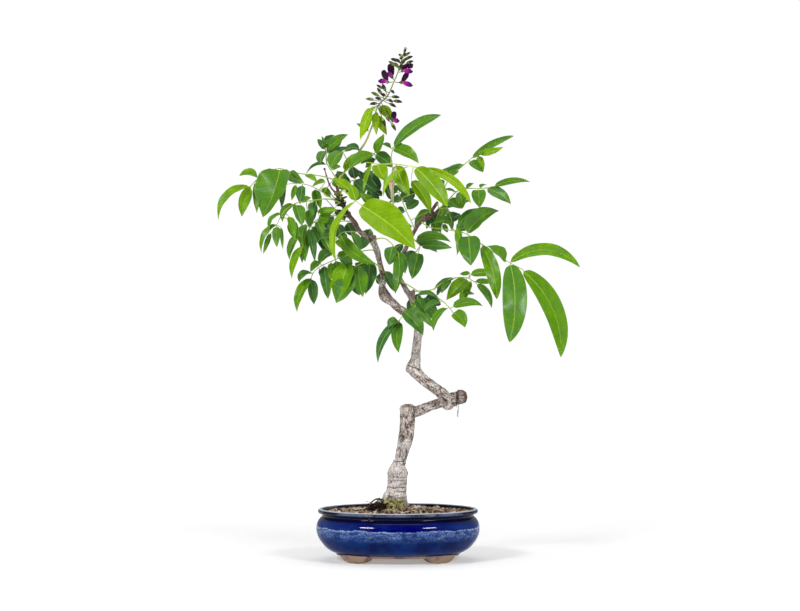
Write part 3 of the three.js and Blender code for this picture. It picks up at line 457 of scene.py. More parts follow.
class Sheet:
    """The node sheet of a material or of the world."""

    def __init__(self, holder: Material | bpy.types.World) -> None:
        """Empties the sheet of its holder."""
        holder.use_nodes = True
        self.tree = holder.node_tree
        self.tree.nodes.clear()

    def feed(self, socket: bpy.types.NodeSocket, given: object) -> None:
        """Links a socket to a value, or sets it.

        Args:
            socket: Input socket.
            given: A value, a number, a triple or a screen colour.
        """
        if isinstance(given, Value):
            self.tree.links.new(given.socket, socket)
        else:
            socket.default_value = shade(*given) if socket.type == "RGBA" else given

    def node(self, kind: str, *first: object, **named: object) -> bpy.types.Node:
        """Adds a node.

        Args:
            kind: Its kind.
            *first: What its first sockets get.
            **named: What sockets get by name, with _ for a space, and settings, in small letters.

        Returns:
            The node.
        """
        made = self.tree.nodes.new("ShaderNode" + kind)
        for socket, given in zip(made.inputs, first):
            self.feed(socket, given)
        for key, given in named.items():
            if key.islower():
                setattr(made, key, given)
            else:
                self.feed(made.inputs[key.replace("_", " ")], given)
        return made

    def value(self, kind: str, output: str | int, *first: object, **named: object) -> Value:
        """Adds a node and gives one of its outputs."""
        return Value(self, self.node(kind, *first, **named).outputs[output])

    def place(self) -> Value:
        """Gives the place in the object, in metres."""
        return self.value("TexCoord", "Object")

    def vector(self, name: str) -> Value:
        """Reads an attribute of triples."""
        return self.value("Attribute", "Vector", attribute_name=name)

    def values(self, name: str) -> list[Value]:
        """Reads an attribute of triples as three values."""
        return self.vector(name).parts()

    def noise(self, scale: float, detail: float = 3, share: float = 0.55, at: Value | None = None) -> Value:
        """Adds noise from 0 to 1: its bumps in a unit, finer layers, their share, and where it is read."""
        return self.value("TexNoise", 0, at or self.place(), Scale=scale, Detail=detail, Roughness=share)


class Skin(Sheet):
    """A material whose sheet ends in a principled shader."""

    def __init__(self, name: str, **settings: float) -> None:
        """Starts the material.

        Args:
            name: Its name.
            **settings: Constants of the shader's sockets, with _ for a space.
        """
        self.material = bpy.data.materials.new(name)
        super().__init__(self.material)
        self.shader = self.node("BsdfPrincipled", **settings)
        self.node("OutputMaterial", Value(self, self.shader.outputs[0]))

    def dress(
        self, colour: Value, height: Value | None = None, relief: Row = (0.0, 0.0), rough: Value | None = None
    ) -> Material:
        """Gives the shader its colour and, where there are any, its relief and roughness.

        Args:
            colour: The colour.
            height: Height from 0 to 1.
            relief: Real depth of the relief in millimetres, and the share of it that is used.
            rough: The roughness.

        Returns:
            The material.
        """
        self.feed(self.shader.inputs["Base Color"], colour)
        if height:
            bump = self.value("Bump", 0, Height=height, Strength=relief[1], Distance=relief[0] * MM)
            self.feed(self.shader.inputs["Normal"], bump)
        if rough:
            self.feed(self.shader.inputs["Roughness"], rough)
        return self.material


def shade(*screen: float) -> Row:
    """Turns a screen colour of 0 to 255 into the linear values that sockets take, with no clearness."""
    return *(v / 12.92 if v <= 0.04045 else ((v + 0.055) / 1.055) ** 2.4 for v in np.array(screen) / 255), 1.0


# Finishes


@dataclass(frozen=True)
class PotGlaze:
    """Royal blue glaze that breaks into frosty speckle under the shoulder, over a bare clay foot line."""

    shoulder: Colour = (0, 1, 94)
    # Steel blue: glaze streaks, and a painted reflection towards the pot's left and right ends.
    streak_and_reflection_blue: Colour = (14, 52, 118)
    # Dark navy of the waist: painted shade.
    neck_shade: Colour = (6, 9, 46)
    frost: Colour = (158, 178, 216)
    frost_ground: Colour = (40, 74, 136)
    low: Colour = (1, 20, 76)
    low_pale: Colour = (4, 46, 110)
    # Lip colours: dark navy low on the lip is painted shade; pale grey-blue higher up is partly worn glaze
    # and partly a painted reflection; the near-white top edge is a painted highlight over worn glaze.
    lip: Colour = (12, 16, 42)
    lip_pale: Colour = (84, 96, 124)
    lip_highlight_and_wear: Colour = (206, 208, 214)
    clay: Colour = (158, 134, 114)
    clay_dark: Colour = (126, 104, 88)
    frost_top: float = 45.0
    frost_fade: float = 28.0
    neck_low: float = 59.0
    lip_edge: float = 68.4
    bare_line: float = 10.8
    gloss: float = 0.2

    def material(self) -> Material:
        """Builds the glaze, zoned by height."""
        skin = Skin("pot_glaze", Specular_IOR_Level=self.gloss)
        sideways, _, plain_height = skin.place().stretched(1 / MM, 1 / MM, 1 / MM).parts()
        height = plain_height + (skin.noise(38, 4, 0.6) - 0.5) * 9
        flat = skin.place().stretched(1.0, 1.0, 2.6)
        top = self.frost_top
        frosted = (1.0 - height.band(top, top + 1.6)) * height.band(self.frost_fade, top - 1)
        clouds = skin.noise(80, 5, 0.7, flat).band(0.36, 0.6)
        frost_share = frosted * (skin.noise(560, 5, 0.85).band(0.45, 0.6) * clouds)
        above = height.band(top - 2, top + 1.4)
        mottled = skin.noise(46, 4, 0.62).band(0.32, 0.74).mix(self.low, self.low_pale)
        # Steel blue in noisy streaks of the glaze, and more towards the left and right ends as a painted
        # reflection where the sides turn away.
        streak_and_side_reflection = skin.noise(44, 4, 0.6, flat).band(0.46, 0.72) * 0.4 + abs(sideways).band(24, 104) * 0.56
        ground = (frosted * clouds.level(0.4, 1.0)).mix(mottled, self.frost_ground)
        body = above.mix(ground, streak_and_side_reflection.mix(self.shoulder, self.streak_and_reflection_blue))
        body = (frost_share * 0.7).mix(body, self.frost)
        line = (1.0 - abs(height - (top + 0.4)).band(0.2, 1.3)) * skin.noise(240, 5, 0.8).band(0.42, 0.56)
        body = (line * 0.75).mix(body, self.frost)
        # Painted shade: the glaze darkens from the top of the shoulder into the waist under the lip.
        body = height.band(self.neck_low - 7, self.neck_low).mix(body, self.neck_shade)
        # Painted shade on the lip's lower side, with noisy pale patches on its upper face that are partly
        # worn glaze and partly a painted reflection.
        wear_and_lit_face = skin.noise(26, 5, 0.66).band(0.42, 0.62) * plain_height.band(64.6, 66.4)
        body = plain_height.band(63, 65).mix(body, wear_and_lit_face.mix(self.lip, self.lip_pale))
        # A near-white line along the lip's top edge: a painted highlight, partly worn glaze.
        body = (plain_height.band(self.lip_edge, 69.4) * 0.9).mix(body, self.lip_highlight_and_wear)
        glazed = plain_height.band(self.bare_line - 0.8, self.bare_line)
        clay = skin.noise(500, 4, 0.7).mix(self.clay_dark, self.clay)
        rough = glazed.level(0.85, above.level(0.16, 0.04) + skin.noise(210, 4, 0.6) * 0.05)
        return skin.dress(glazed.mix(clay, body), skin.noise(120) + frost_share * 0.35, (0.1, 0.4), rough)


@dataclass(frozen=True)
class Grained:
    """Plain stuff with a fine grain between two shades, such as clay, plastic, paper or wire."""

    name: str
    shades: tuple[Colour, Colour]
    grain: Row
    relief: Row
    rough: Row
    blotch: Colour | None = None
    blotches: Row = (60, 3, 0.45, 0.75)
    gloss: float = 0.25
    metal: float = 0.0

    def material(self) -> Material:
        """Builds the stuff: grain is its scale, layers, strength, and where its shades meet."""
        skin = Skin(self.name, Specular_IOR_Level=self.gloss, Metallic=self.metal)
        scale, layers, strength, *meet = self.grain
        grain = skin.noise(scale, layers, strength)
        colour = (grain.band(*meet) if meet else grain).mix(*self.shades)
        if self.blotch:
            size, finer, low, high = self.blotches
            colour = skin.noise(size, finer).band(low, high).mix(colour, self.blotch)
        return skin.dress(colour, grain, self.relief, grain.level(*self.rough))


CLAY = Grained(
    "bare_clay", ((128, 106, 90), (190, 160, 136)), (900, 5, 0.7), (0.3, 0.8), (0.7, 0.95),
    (110, 92, 82),
)
SCREEN_PLASTIC = Grained(
    "screen_plastic", ((20, 21, 22), (52, 50, 47)), (700, 4, 0.7), (0.1, 0.6), (0.4, 0.75), gloss=0.4
)
CUT_WOOD = Grained(
    "cut_wood", ((44, 28, 26), (128, 96, 86)), (700, 5, 0.7, 0.35, 0.65), (0.6, 1.0), (0.7, 0.95),
    (86, 68, 62), (190, 4, 0.5, 0.7), 0.2,
)
TAG_PAPER = Grained(
    "tag_paper", ((246, 247, 248), (255, 255, 255)), (1600, 4, 0.6), (0.03, 0.6), (0.6, 0.64), gloss=0.35
)
DARK_WIRE = Grained(
    "dark_wire", ((34, 28, 26), (96, 86, 80)), (1900, 4, 0.7), (0.04, 0.5), (0.3, 0.55),
    gloss=0.5, metal=0.75,
)


@dataclass(frozen=True)
class Grit:
    """Fired clay, pumice and bark granules, coloured one by one by their own value."""

    tones: Rows = (
        (0.0, 24, 17, 14), (0.18, 58, 42, 32), (0.34, 124, 96, 76),
        (0.48, 188, 148, 128), (0.62, 150, 142, 104), (0.8, 220, 202, 176),
        (1.0, 238, 232, 216),
    )

    def material(self) -> Material:
        """Builds the grit: value x picks the colour, y paints shade on it."""
        skin = Skin("soil_grit", Specular_IOR_Level=0.2)
        tone, depth, _ = skin.values("granule")
        pits = skin.noise(1500, 4, 0.7)
        colour = (pits * 0.45).mix(tone.ramp(self.tones), (40, 30, 24))
        # Painted shade: value y darkens the lower sides of the granules and the bed between them.
        return skin.dress(depth.mix(colour, (20, 15, 12)), pits, (0.25, 0.9), pits.level(0.75, 0.98))


@dataclass(frozen=True)
class Moss:
    """Living moss: yellow-green shoots, darkened towards their roots as painted shade deep among them."""

    tones: Rows = (
        (0.0, 38, 40, 16), (0.3, 112, 110, 30), (0.6, 204, 194, 88), (1.0, 250, 242, 172),
    )

    def material(self) -> Material:
        """Builds the moss: value x runs from root to tip, y is the tuft's tone."""
        skin = Skin("moss", Roughness=0.85, Specular_IOR_Level=0.2, Sheen_Weight=0.2)
        rise, tone, _ = skin.values("shoot")
        # Painted shade: each shoot darkens towards its root.
        return skin.dress(rise.mix((30, 32, 16), tone.ramp(self.tones)))


@dataclass(frozen=True)
class Bark:
    """Bark from the pale, ringed base to the red-brown twigs.

    Attribute wood holds age (1 old, 0 young), darkening and paleness. The darkening is painted shade in the
    cracks and holes, together with darker bark low on the trunk near the soil. Attribute grain is a place
    that runs along each limb, with the run squeezed, so that pores and fissures follow the wood.
    """

    old_pale: Colour = (240, 232, 226)
    old_mid: Colour = (158, 138, 125)
    old_dark: Colour = (40, 28, 24)
    base_pink: Colour = (252, 243, 240)
    young_red: Colour = (104, 66, 54)
    young_dark: Colour = (44, 28, 25)
    young_scar: Colour = (170, 140, 122)
    # Dark brown for painted shade in cracks and holes, and for darker bark low on the trunk.
    crack_shade_and_low_dark: Colour = (26, 17, 15)

    def material(self) -> Material:
        """Builds the bark."""
        skin = Skin("bark", Specular_IOR_Level=0.22)
        age, darkening, pale = skin.values("wood")
        along = skin.vector("grain")
        fine = skin.noise(0.52, 5, 0.82, along)
        coarse = skin.noise(0.16, 4, 0.6, along)
        pores = skin.value("TexVoronoi", "Distance", along.stretched(1.0, 1.0, 1.4), Scale=0.46)
        specks = (1.0 - pores.band(0.22, 0.44)) * skin.noise(0.3, 4, 0.7, along).band(0.4, 0.5)
        calm = pale.level(1.0, 0.5) * coarse.band(0.42, 0.62).level(1.0, 0.72)
        scars = skin.noise(0.3, 5, 0.75, along.stretched(1.0, 1.0, 2.2)).band(0.59, 0.64)
        old = coarse.band(0.36, 0.62).mix(self.old_mid, self.old_pale)
        old = (pale * 0.8).mix(old, self.base_pink)
        for share in ((1.0 - fine.band(0.42, 0.53)) * calm, specks * calm, scars * pale.level(0.9, 0.4)):
            old = share.mix(old, self.old_dark)
        young = fine.band(0.32, 0.68).mix(self.young_dark, self.young_red)
        young = (specks * 0.5).mix(young, self.young_scar)
        # Painted shade of cracks and holes, and darker bark low on the trunk.
        colour = darkening.mix(age.mix(young, old), self.crack_shade_and_low_dark)
        height = fine * 0.8 - specks * 0.6 + coarse * 0.5
        return skin.dress(colour, height, (0.55, 0.9), fine.level(0.95, 0.7))


class LeafAge(Enum):
    """Ages of foliage, each with its greens from dark to bright."""

    MATURE = ((0.0, 30, 68, 40), (0.36, 60, 108, 50), (0.7, 88, 138, 8), (1.0, 128, 170, 8))
    YOUNG = ((0.0, 70, 114, 0), (0.36, 104, 146, 0), (0.7, 130, 168, 6), (1.0, 164, 192, 34))


@dataclass(frozen=True)
class LeafSkin:
    """Glossy leaf with a pale midrib, side veins and a bluish underside.

    Attribute blade holds the run along the leaflet, the place across it and millimetres from the midrib.
    Attribute leaf holds tone (0 dark, 1 bright), 1 on the underside and 1 on stalks.
    """

    name: str
    age: LeafAge
    underside: Colour
    rib: Colour
    stalk: Colour

    def material(self) -> Material:
        """Builds the leaf skin."""
        skin = Skin(self.name, Coat_Weight=0.04, Coat_Roughness=0.16, Specular_IOR_Level=0.13)
        run, across, offset = skin.values("blade")
        tone, under, stalk = skin.values("leaf")
        upper = (tone + (skin.noise(110, 4, 0.6) - 0.5) * 0.7).ramp(self.age.value)
        side = abs(across)
        veins = self.veins(skin, run, side)
        for share in (veins * 0.09, (1.0 - offset.band(0.4, 1.8)) * 0.08):
            upper = share.mix(upper, self.rib)
        body = under.mix(upper, (veins * 0.2).mix(self.underside, self.rib))
        rib = 1.0 - (offset - (0.44 - run * 0.3)).band(-0.16, 0.1)
        for share in (side.band(0.93, 1.0) * 0.24, rib * 0.62):
            body = share.mix(body, self.rib)
        colour = stalk.mix(body, skin.noise(260).mix(self.stalk, self.rib))
        rough = under.level(0.24, 0.55) + skin.noise(420) * 0.14
        return skin.dress(colour, skin.noise(600, 3, 0.5) * 0.4 - veins * 0.5, (0.05, 0.6), rough)

    def veins(self, skin: Skin, run: Value, side: Value) -> Value:
        """Draws side veins that leave the midrib at a slant and fade towards the margin.

        Args:
            skin: Material that they go on.
            run: The run along the leaflet.
            side: The place across it, 0 to 1.

        Returns:
            1 on a vein, 0 off it.
        """
        wander = run * 15.0 - side * 3.2 + skin.noise(120, 2) * 0.5
        line = 1.0 - abs(wander.fraction() - 0.5).band(0.03, 0.13)
        return line * (1.0 - side.band(0.5, 1.0))


MATURE_LEAF = LeafSkin("leaf_mature", LeafAge.MATURE, (118, 152, 104), (178, 204, 92), (142, 160, 66))
YOUNG_LEAF = LeafSkin("leaf_young", LeafAge.YOUNG, (156, 188, 84), (206, 224, 104), (178, 198, 62))


@dataclass(frozen=True)
class Silky:
    """Green stems and silky buds: a ramp of shades along value x of an attribute, under fine hairs."""

    name: str
    attribute: str
    tones: Rows
    hair: Colour
    hairs: Row
    relief: Row
    settings: tuple[float, float, float]

    def material(self) -> Material:
        """Builds the skin: hairs holds their scale, layers, strength and share, and the relief's scale."""
        rough, gloss, sheen = self.settings
        skin = Skin(
            self.name, Roughness=rough, Specular_IOR_Level=gloss, Sheen_Weight=sheen, Sheen_Roughness=0.35
        )
        scale, layers, strength, share, fine = self.hairs
        hairs = skin.noise(scale, layers, strength) * share
        colour = hairs.mix(skin.values(self.attribute)[0].ramp(self.tones), self.hair)
        return skin.dress(colour, skin.noise(fine), self.relief)


GREEN_STEM = Silky(
    "green_stem", "stem",
    (
        (0.3, 152, 170, 50), (0.46, 124, 108, 66), (0.72, 120, 110, 76),
        (0.88, 150, 176, 70),
    ),
    (184, 196, 104), (420, 4, 0.65, 1.0, 1400), (0.12, 0.6), (0.5, 0.35, 0.0),
)
BUD_SKIN = Silky(
    "bud_skin", "bud",
    (
        (0.0, 18, 10, 20), (0.3, 40, 38, 30), (0.55, 84, 96, 44), (0.8, 132, 152, 66),
        (1.0, 172, 190, 96),
    ),
    (150, 156, 104), (1300, 4, 0.7, 0.1, 1800), (0.15, 0.8), (0.6, 0.2, 0.15),
)


@dataclass(frozen=True)
class Petal:
    """Velvet petals: near-black purple banners and magenta keels, pale at the claw.

    Attribute petal holds the run from the claw, the place across, and 1 on keels and wings.
    """

    banner: tuple[Colour, Colour] = ((20, 3, 24), (58, 8, 60))
    inner: Rows = (
        (0.1, 204, 60, 160), (0.45, 160, 8, 146), (0.8, 108, 4, 116), (1.0, 38, 4, 48),
    )
    claw: Colour = (196, 150, 120)

    def material(self) -> Material:
        """Builds the petals."""
        skin = Skin("petal", Roughness=0.55, Specular_IOR_Level=0.15, Sheen_Weight=0.06, Sheen_Roughness=0.4)
        run, across, keel = skin.values("petal")
        streaks = skin.noise(0.9, 3, 0.6, skin.vector("petal").stretched(2.0, 14.0, 1.0))
        colour = keel.mix(streaks.mix(*self.banner), (run + streaks * 0.2).ramp(self.inner))
        colour = ((1.0 - run.band(0.02, 0.16)) * 0.5).mix(colour, self.claw)
        return skin.dress(colour, streaks + abs(across) * 0.2, (0.12, 0.8))


@dataclass(frozen=True)
class DriedSkin:
    """Dried leaf: papery beige with brown streaks along it."""

    shades: tuple[Colour, Colour] = ((150, 126, 92), (218, 206, 172))
    spots: Colour = (112, 84, 58)

    def material(self) -> Material:
        """Builds the dried leaf."""
        skin = Skin("dried_leaf", Roughness=0.8, Specular_IOR_Level=0.2)
        streaks = skin.noise(1.0, 5, 0.7, skin.vector("blade").stretched(3.0, 7.0, 2.0))
        colour = skin.noise(300, 4).band(0.58, 0.74).mix(streaks.band(0.3, 0.7).mix(*self.shades), self.spots)
        return skin.dress(colour, streaks, (0.3, 0.9))


# Pot and soil


@dataclass(frozen=True)
class Oval:
    """Plan of the pot: an oval whose wall is equally thick all round."""

    half_width: float = 107.0
    half_depth: float = 79.0

    def depth_at(self, half_width: float) -> float:
        """Finds the half depth of the oval of a half width."""
        return max(half_width - (self.half_width - self.half_depth), 0.0)

    def ring(self, half_width: float, angle: Array, z: float) -> Array:
        """Finds the points of an oval at angles round it, 0 towards +X, as rows of x, y, z."""
        x, y = half_width * np.cos(angle), self.depth_at(half_width) * np.sin(angle)
        return np.stack([x, y, np.full_like(x, z)], -1)


OVAL = Oval()


@dataclass
class OvalPot(MeshMaker):
    """Glazed oval pot with a rolled lip, a waist, a round belly and four bracket feet."""

    sides: int = 160
    uneven: float = 0.22
    foot_bearing: float = 44.4
    foot_span: float = 20.5
    foot_height: float = 11.4
    foot_outer: float = 83.8
    foot_inner: float = 68.0
    foot_flare: float = 3.6
    foot_edge: float = 2.2
    foot_steps: tuple[int, int] = (20, 17)
    clay_top: float = 10.7
    shoulder_low: float = 45.0
    foot_shares: Row = (0.0, 0.06, 0.16, 0.34, 0.6, 0.84, 0.94, 1.0)
    foot_spans: Row = (0.36, 0.48, 0.58, 0.68, 0.78, 0.88, 0.93, 1.0)
    drain_x: float = 44.0
    drain_radius: float = 9.0
    drill: tuple[float, float, int] = (2.0, 24.0, 12)
    outer: Rows = (
        (80.0, 7.4), (82.4, 7.8), (83.4, 9.2), (84.4, 10.6), (87.2, 11.6), (92.4, 14.2), (98.0, 18.6),
        (102.6, 24.0), (106.6, 30.2), (109.2, 36.6), (110.0, 42.6), (109.7, 47.8), (108.2, 52.4),
        (105.8, 56.2), (103.4, 58.6), (102.4, 60.0), (102.3, 61.4), (103.0, 62.6), (105.0, 63.3),
        (107.0, 64.0), (108.0, 65.3), (107.9, 66.8), (107.0, 68.4), (105.8, 69.4), (104.4, 69.7),
        (103.0, 69.3), (102.0, 68.2), (101.7, 66.0), (102.0, 60.0), (102.5, 50.0), (101.6, 40.0),
        (98.0, 28.0), (91.0, 20.0), (82.0, 15.6), (70.0, 15.0),
    )

    def build(self, *finishes: Material) -> None:
        """Makes the wall with its floor, and the feet, as one piece with two drilled drain holes.

        Args:
            *finishes: Finishes of the shoulder, of the wall under it, and of the feet.
        """
        self.add_wall()
        for bearing in (self.foot_bearing, 180 - self.foot_bearing):
            self.add_foot(bearing)
            self.add_foot(bearing + 180)
        rods = MeshMaker()
        for x in (-self.drain_x, self.drain_x):
            rods.add_tube(np.array([(x, 0.0, z) for z in np.linspace(*self.drill)]), self.drain_radius, 32)
        drills = linked("drills", rods.mesh("drills"))
        cut = {"operation": "DIFFERENCE", "solver": "EXACT", "use_self": True, "object": drills}
        drilled = self.shaped("pot_glazed", ("BOOLEAN", cut))
        bpy.data.meshes.remove(drills.data)
        for face in drilled.polygons:
            height = face.center.z / MM
            face.material_index = int(height < self.shoulder_low) + int(height < self.clay_top)
        place(drilled, finishes, "glazed_pot", ["pot"])

    def add_wall(self) -> None:
        """Adds the wall: its profile swept round, closed by a flat underside and floor."""
        profile = smooth_line([(half, 0.0, z) for half, z in self.outer], 3)
        corners = np.vstack([OVAL.ring(half, round_angles(self.sides), z) for half, _, z in profile])
        away = unit(corners * (1.0, 1.0, 0.0))
        corners = corners + away * rough(corners, 34.0, 2.0)[:, None] * self.uneven
        self.add(corners, ring_faces(len(profile), self.sides))

    def add_foot(self, bearing: float) -> None:
        """Adds one bracket foot that narrows downwards with concave sides.

        Args:
            bearing: Angle of its middle, in degrees.
        """
        points, levels = self.foot_steps
        rings = []
        for share in np.linspace(0, 1, levels):
            soft = self.foot_edge * (1 - min(share * 3, 1.0)) ** 2
            half = self.foot_span * float(np.interp(share, self.foot_shares, self.foot_spans)) - soft * 0.5
            angles = np.radians(bearing + np.linspace(-half, half, points))
            outer = self.foot_outer + self.foot_flare * share**2 - soft
            inner = self.foot_inner - 2.0 * share + soft
            for reach, bearings in ((outer, angles), (inner, angles[::-1])):
                rings.append(OVAL.ring(reach, bearings, self.foot_height * share))
        self.add(np.vstack(rings), ring_faces(levels, 2 * points))


@dataclass(frozen=True)
class DrainScreens:
    """Two slotted plastic screens on the pot's floor; the CAD nodes themselves, dressed."""

    nodes: tuple[str, ...] = ("drain_screen_left", "drain_screen_right")

    def dress(self, nodes: dict[str, Thing], finish: Material) -> None:
        """Gives the nodes their finish.

        Args:
            nodes: CAD nodes by name.
            finish: The plastic.
        """
        for name in self.nodes:
            nodes[name].data.materials.clear()
            nodes[name].data.materials.append(finish)
            LOG.info("%s: dressed", name)


@dataclass(frozen=True)
class Strewn:
    """Thin bits that lie in a heap: how many, where, how widely, how high, and their tone."""

    count: int
    middle: Row
    spread: Row
    pile: float
    tone: float


@dataclass(frozen=True)
class Granules:
    """Granules of one size: name of their piece, spacing, number, and ends of their radii and tones."""

    name: str
    spacing: float
    most: int
    radii: Row
    tones: Row


@dataclass(frozen=True)
class GritSoil:
    """Mound of gritty soil: a bed, granules that lie on it, and fallen bits."""

    edge: float = 100.6
    edge_z: float = 62.2
    mound: float = 7.6
    rise: float = 1.6
    trunk_x: float = -4.0
    trunk_radius: float = 14.0
    outermost: float = 0.985
    tries: int = 14
    bed_steps: tuple[int, int] = (150, 44)
    low_rings: Rows = ((60.0, 16.8), (82.0, 17.2), (96.6, 29.2), (101.2, 46.0))
    granules: tuple[Granules, ...] = (
        Granules("soil_grit", 3.7, 2200, (1.3, 3.1), (0.0, 0.85)),
        Granules("soil_pumice", 8.2, 260, (2.2, 3.7), (0.35, 1.0)),
    )
    heaps: tuple[Strewn, ...] = (
        Strewn(190, (-26, -15), (7.5, 7.0), 8.0, 0.1),
        Strewn(34, (22, -30), (26.0, 14.0), 0.5, 0.78),
        Strewn(20, (-46, -26), (24.0, 12.0), 0.5, 0.3),
    )
    seed: int = 11

    def reach(self, places: Array) -> Array:
        """Says how far out places lie: 0 at the middle, 1 at the wall."""
        return np.hypot(places[:, 0] / self.edge, places[:, 1] / OVAL.depth_at(self.edge))

    def height(self, places: Array) -> Array:
        """Finds the height of the soil under places."""
        share = np.clip(1 - (np.maximum(self.reach(places), 1e-6) - 0.2) / 0.8, 0, 1)
        return self.edge_z + self.mound * share**self.rise

    def build(self, grit: Material) -> None:
        """Makes the bed, the granules and the fallen bits.

        Args:
            grit: Their finish.
        """
        self.build_bed(grit)
        for number, kind in enumerate(self.granules):
            self.build_granules(kind, self.scatter(kind, self.seed + number), grit)
        self.build_litter(grit)

    def build_litter(self, grit: Material) -> None:
        """Strews thin straws on the granules and dark rootlets beside the root crown.

        Args:
            grit: Their finish.
        """
        maker = MeshMaker(seed=self.seed + 9)
        draw = maker.draw
        for heap in (heap for heap in self.heaps for _ in range(heap.count)):
            spot = np.array([*(draw.normal(size=2) * heap.spread + heap.middle), 0.0])
            spot[2] = self.height(spot[None])[0] + 1.4 + abs(draw.normal()) * heap.pile * 0.6
            way = unit(draw.normal(size=3) * (1.0, 1.0, 0.12 + heap.pile * 0.02)) * draw.uniform(2.5, 6.0)
            bow = draw.normal(size=3) * (1.0, 1.0, 0.4)
            tone = float(np.clip(heap.tone + draw.normal(0, 0.1), 0.0, 1.0))
            radius = draw.uniform(0.22, 0.5) + heap.pile * 0.02
            line = smooth_line([spot - way, spot + bow, spot + way], 3)
            maker.add_tube(line, radius, 5, granule=(tone, 0, 0))
        maker.place("soil_litter", grit, "soil")

    def build_bed(self, grit: Material) -> None:
        """Makes the closed bed that the granules lie on.

        Args:
            grit: Its finish.
        """
        sides, circles = self.bed_steps
        angles = round_angles(sides)
        rows = [OVAL.ring(half, angles, z) for half, z in self.low_rings]
        for share in np.linspace(1, 0.02, circles):
            circle = OVAL.ring(self.edge, angles, 0.0) * share
            circle[:, 2] = self.height(circle) + rough(circle, 3.0, 5.0) * 0.9 - 1.0
            rows.append(circle)
        corners = np.vstack(rows)
        tone = 0.12 + 0.16 * rough(corners, 2.2, 7.0)
        maker = MeshMaker()
        # The bed is darkened by 0.45 as painted shade between the granules.
        values = np.column_stack([tone, np.full_like(tone, 0.45), tone])
        maker.add(corners, ring_faces(len(rows), len(angles)), granule=values)
        maker.place("soil_bed", grit, "soil", ["soil"])

    def scatter(self, kind: Granules, seed: int) -> Array:
        """Picks places on the soil that keep a distance from each other and from the trunk.

        Args:
            kind: Granules that are to lie there.
            seed: Seed of the draw.

        Returns:
            Rows of x and y.
        """
        kept: dict[tuple[int, int], Array] = {}
        spacing = kind.spacing
        spots = np.random.default_rng(seed).uniform(-1, 1, (kind.most * self.tries, 2))
        spots = spots * (self.edge, OVAL.depth_at(self.edge))
        clear = np.hypot(spots[:, 0] - self.trunk_x, spots[:, 1]) >= self.trunk_radius + spacing * 0.9
        for spot in spots[clear & (self.reach(spots) <= self.outermost)]:
            cell = tuple((spot // spacing).astype(int))
            keys = ((cell[0] + i, cell[1] + j) for i in (-1, 0, 1) for j in (-1, 0, 1))
            if all(np.hypot(*(spot - kept[key])) >= spacing * 0.8 for key in keys if key in kept):
                kept[cell] = spot
            if len(kept) >= kind.most:
                break
        return np.array(list(kept.values()))

    def build_granules(self, kind: Granules, spots: Array, grit: Material) -> None:
        """Makes angular granules that sit part sunk in the bed.

        Args:
            kind: Their kind.
            spots: Rows of x and y.
            grit: Their finish.
        """
        maker = MeshMaker(seed=self.seed + 5)
        draw = maker.draw
        ball, faces = ball_corners(2)
        for spot, z in zip(spots, self.height(spots)):
            radius, stretch = draw.uniform(*kind.radii), draw.uniform(0.6, 1.35, 3)
            shape = ball * (1 + draw.uniform(-0.2, 0.2, len(ball)))[:, None] * stretch * radius
            turned = shape @ turn_matrix(draw).T
            corners = turned + np.array([*spot, z + radius * 0.15 + draw.uniform(-0.3, 0.9)])
            tone = np.interp(draw.beta(0.75, 1.0), (0, 1), kind.tones)
            # Painted shade on each granule's lower side, where it sinks into the bed.
            low = np.clip((z + 1.8 - corners[:, 2]) / 2.2 + draw.uniform(-0.3, 0.3), 0, 0.94)
            maker.add(corners, faces, granule=np.stack([np.full(len(ball), tone), low, low], -1))
        maker.place(kind.name, grit, "soil")


def turn_matrix(draw: Draw) -> Array:
    """Draws a random turn.

    Args:
        draw: Random draws.

    Returns:
        Its matrix.
    """
    first = unit(draw.normal(size=3))
    second = draw.normal(size=3)
    second = unit(second - first * (first @ second))
    return np.stack([first, second, np.cross(first, second)])


# Wood


@dataclass(frozen=True)
class Limb:
    """One limb of the wood: rows of x seen, z seen, depth and radius, with its age at both ends."""

    stations: Rows
    age: tuple[float, float] = (1.0, 1.0)
    lumps: float = 1.0

    def line(self) -> Array:
        """Samples the limb: rows of x, y, z, radius."""
        return seen_line(self.stations, 8)


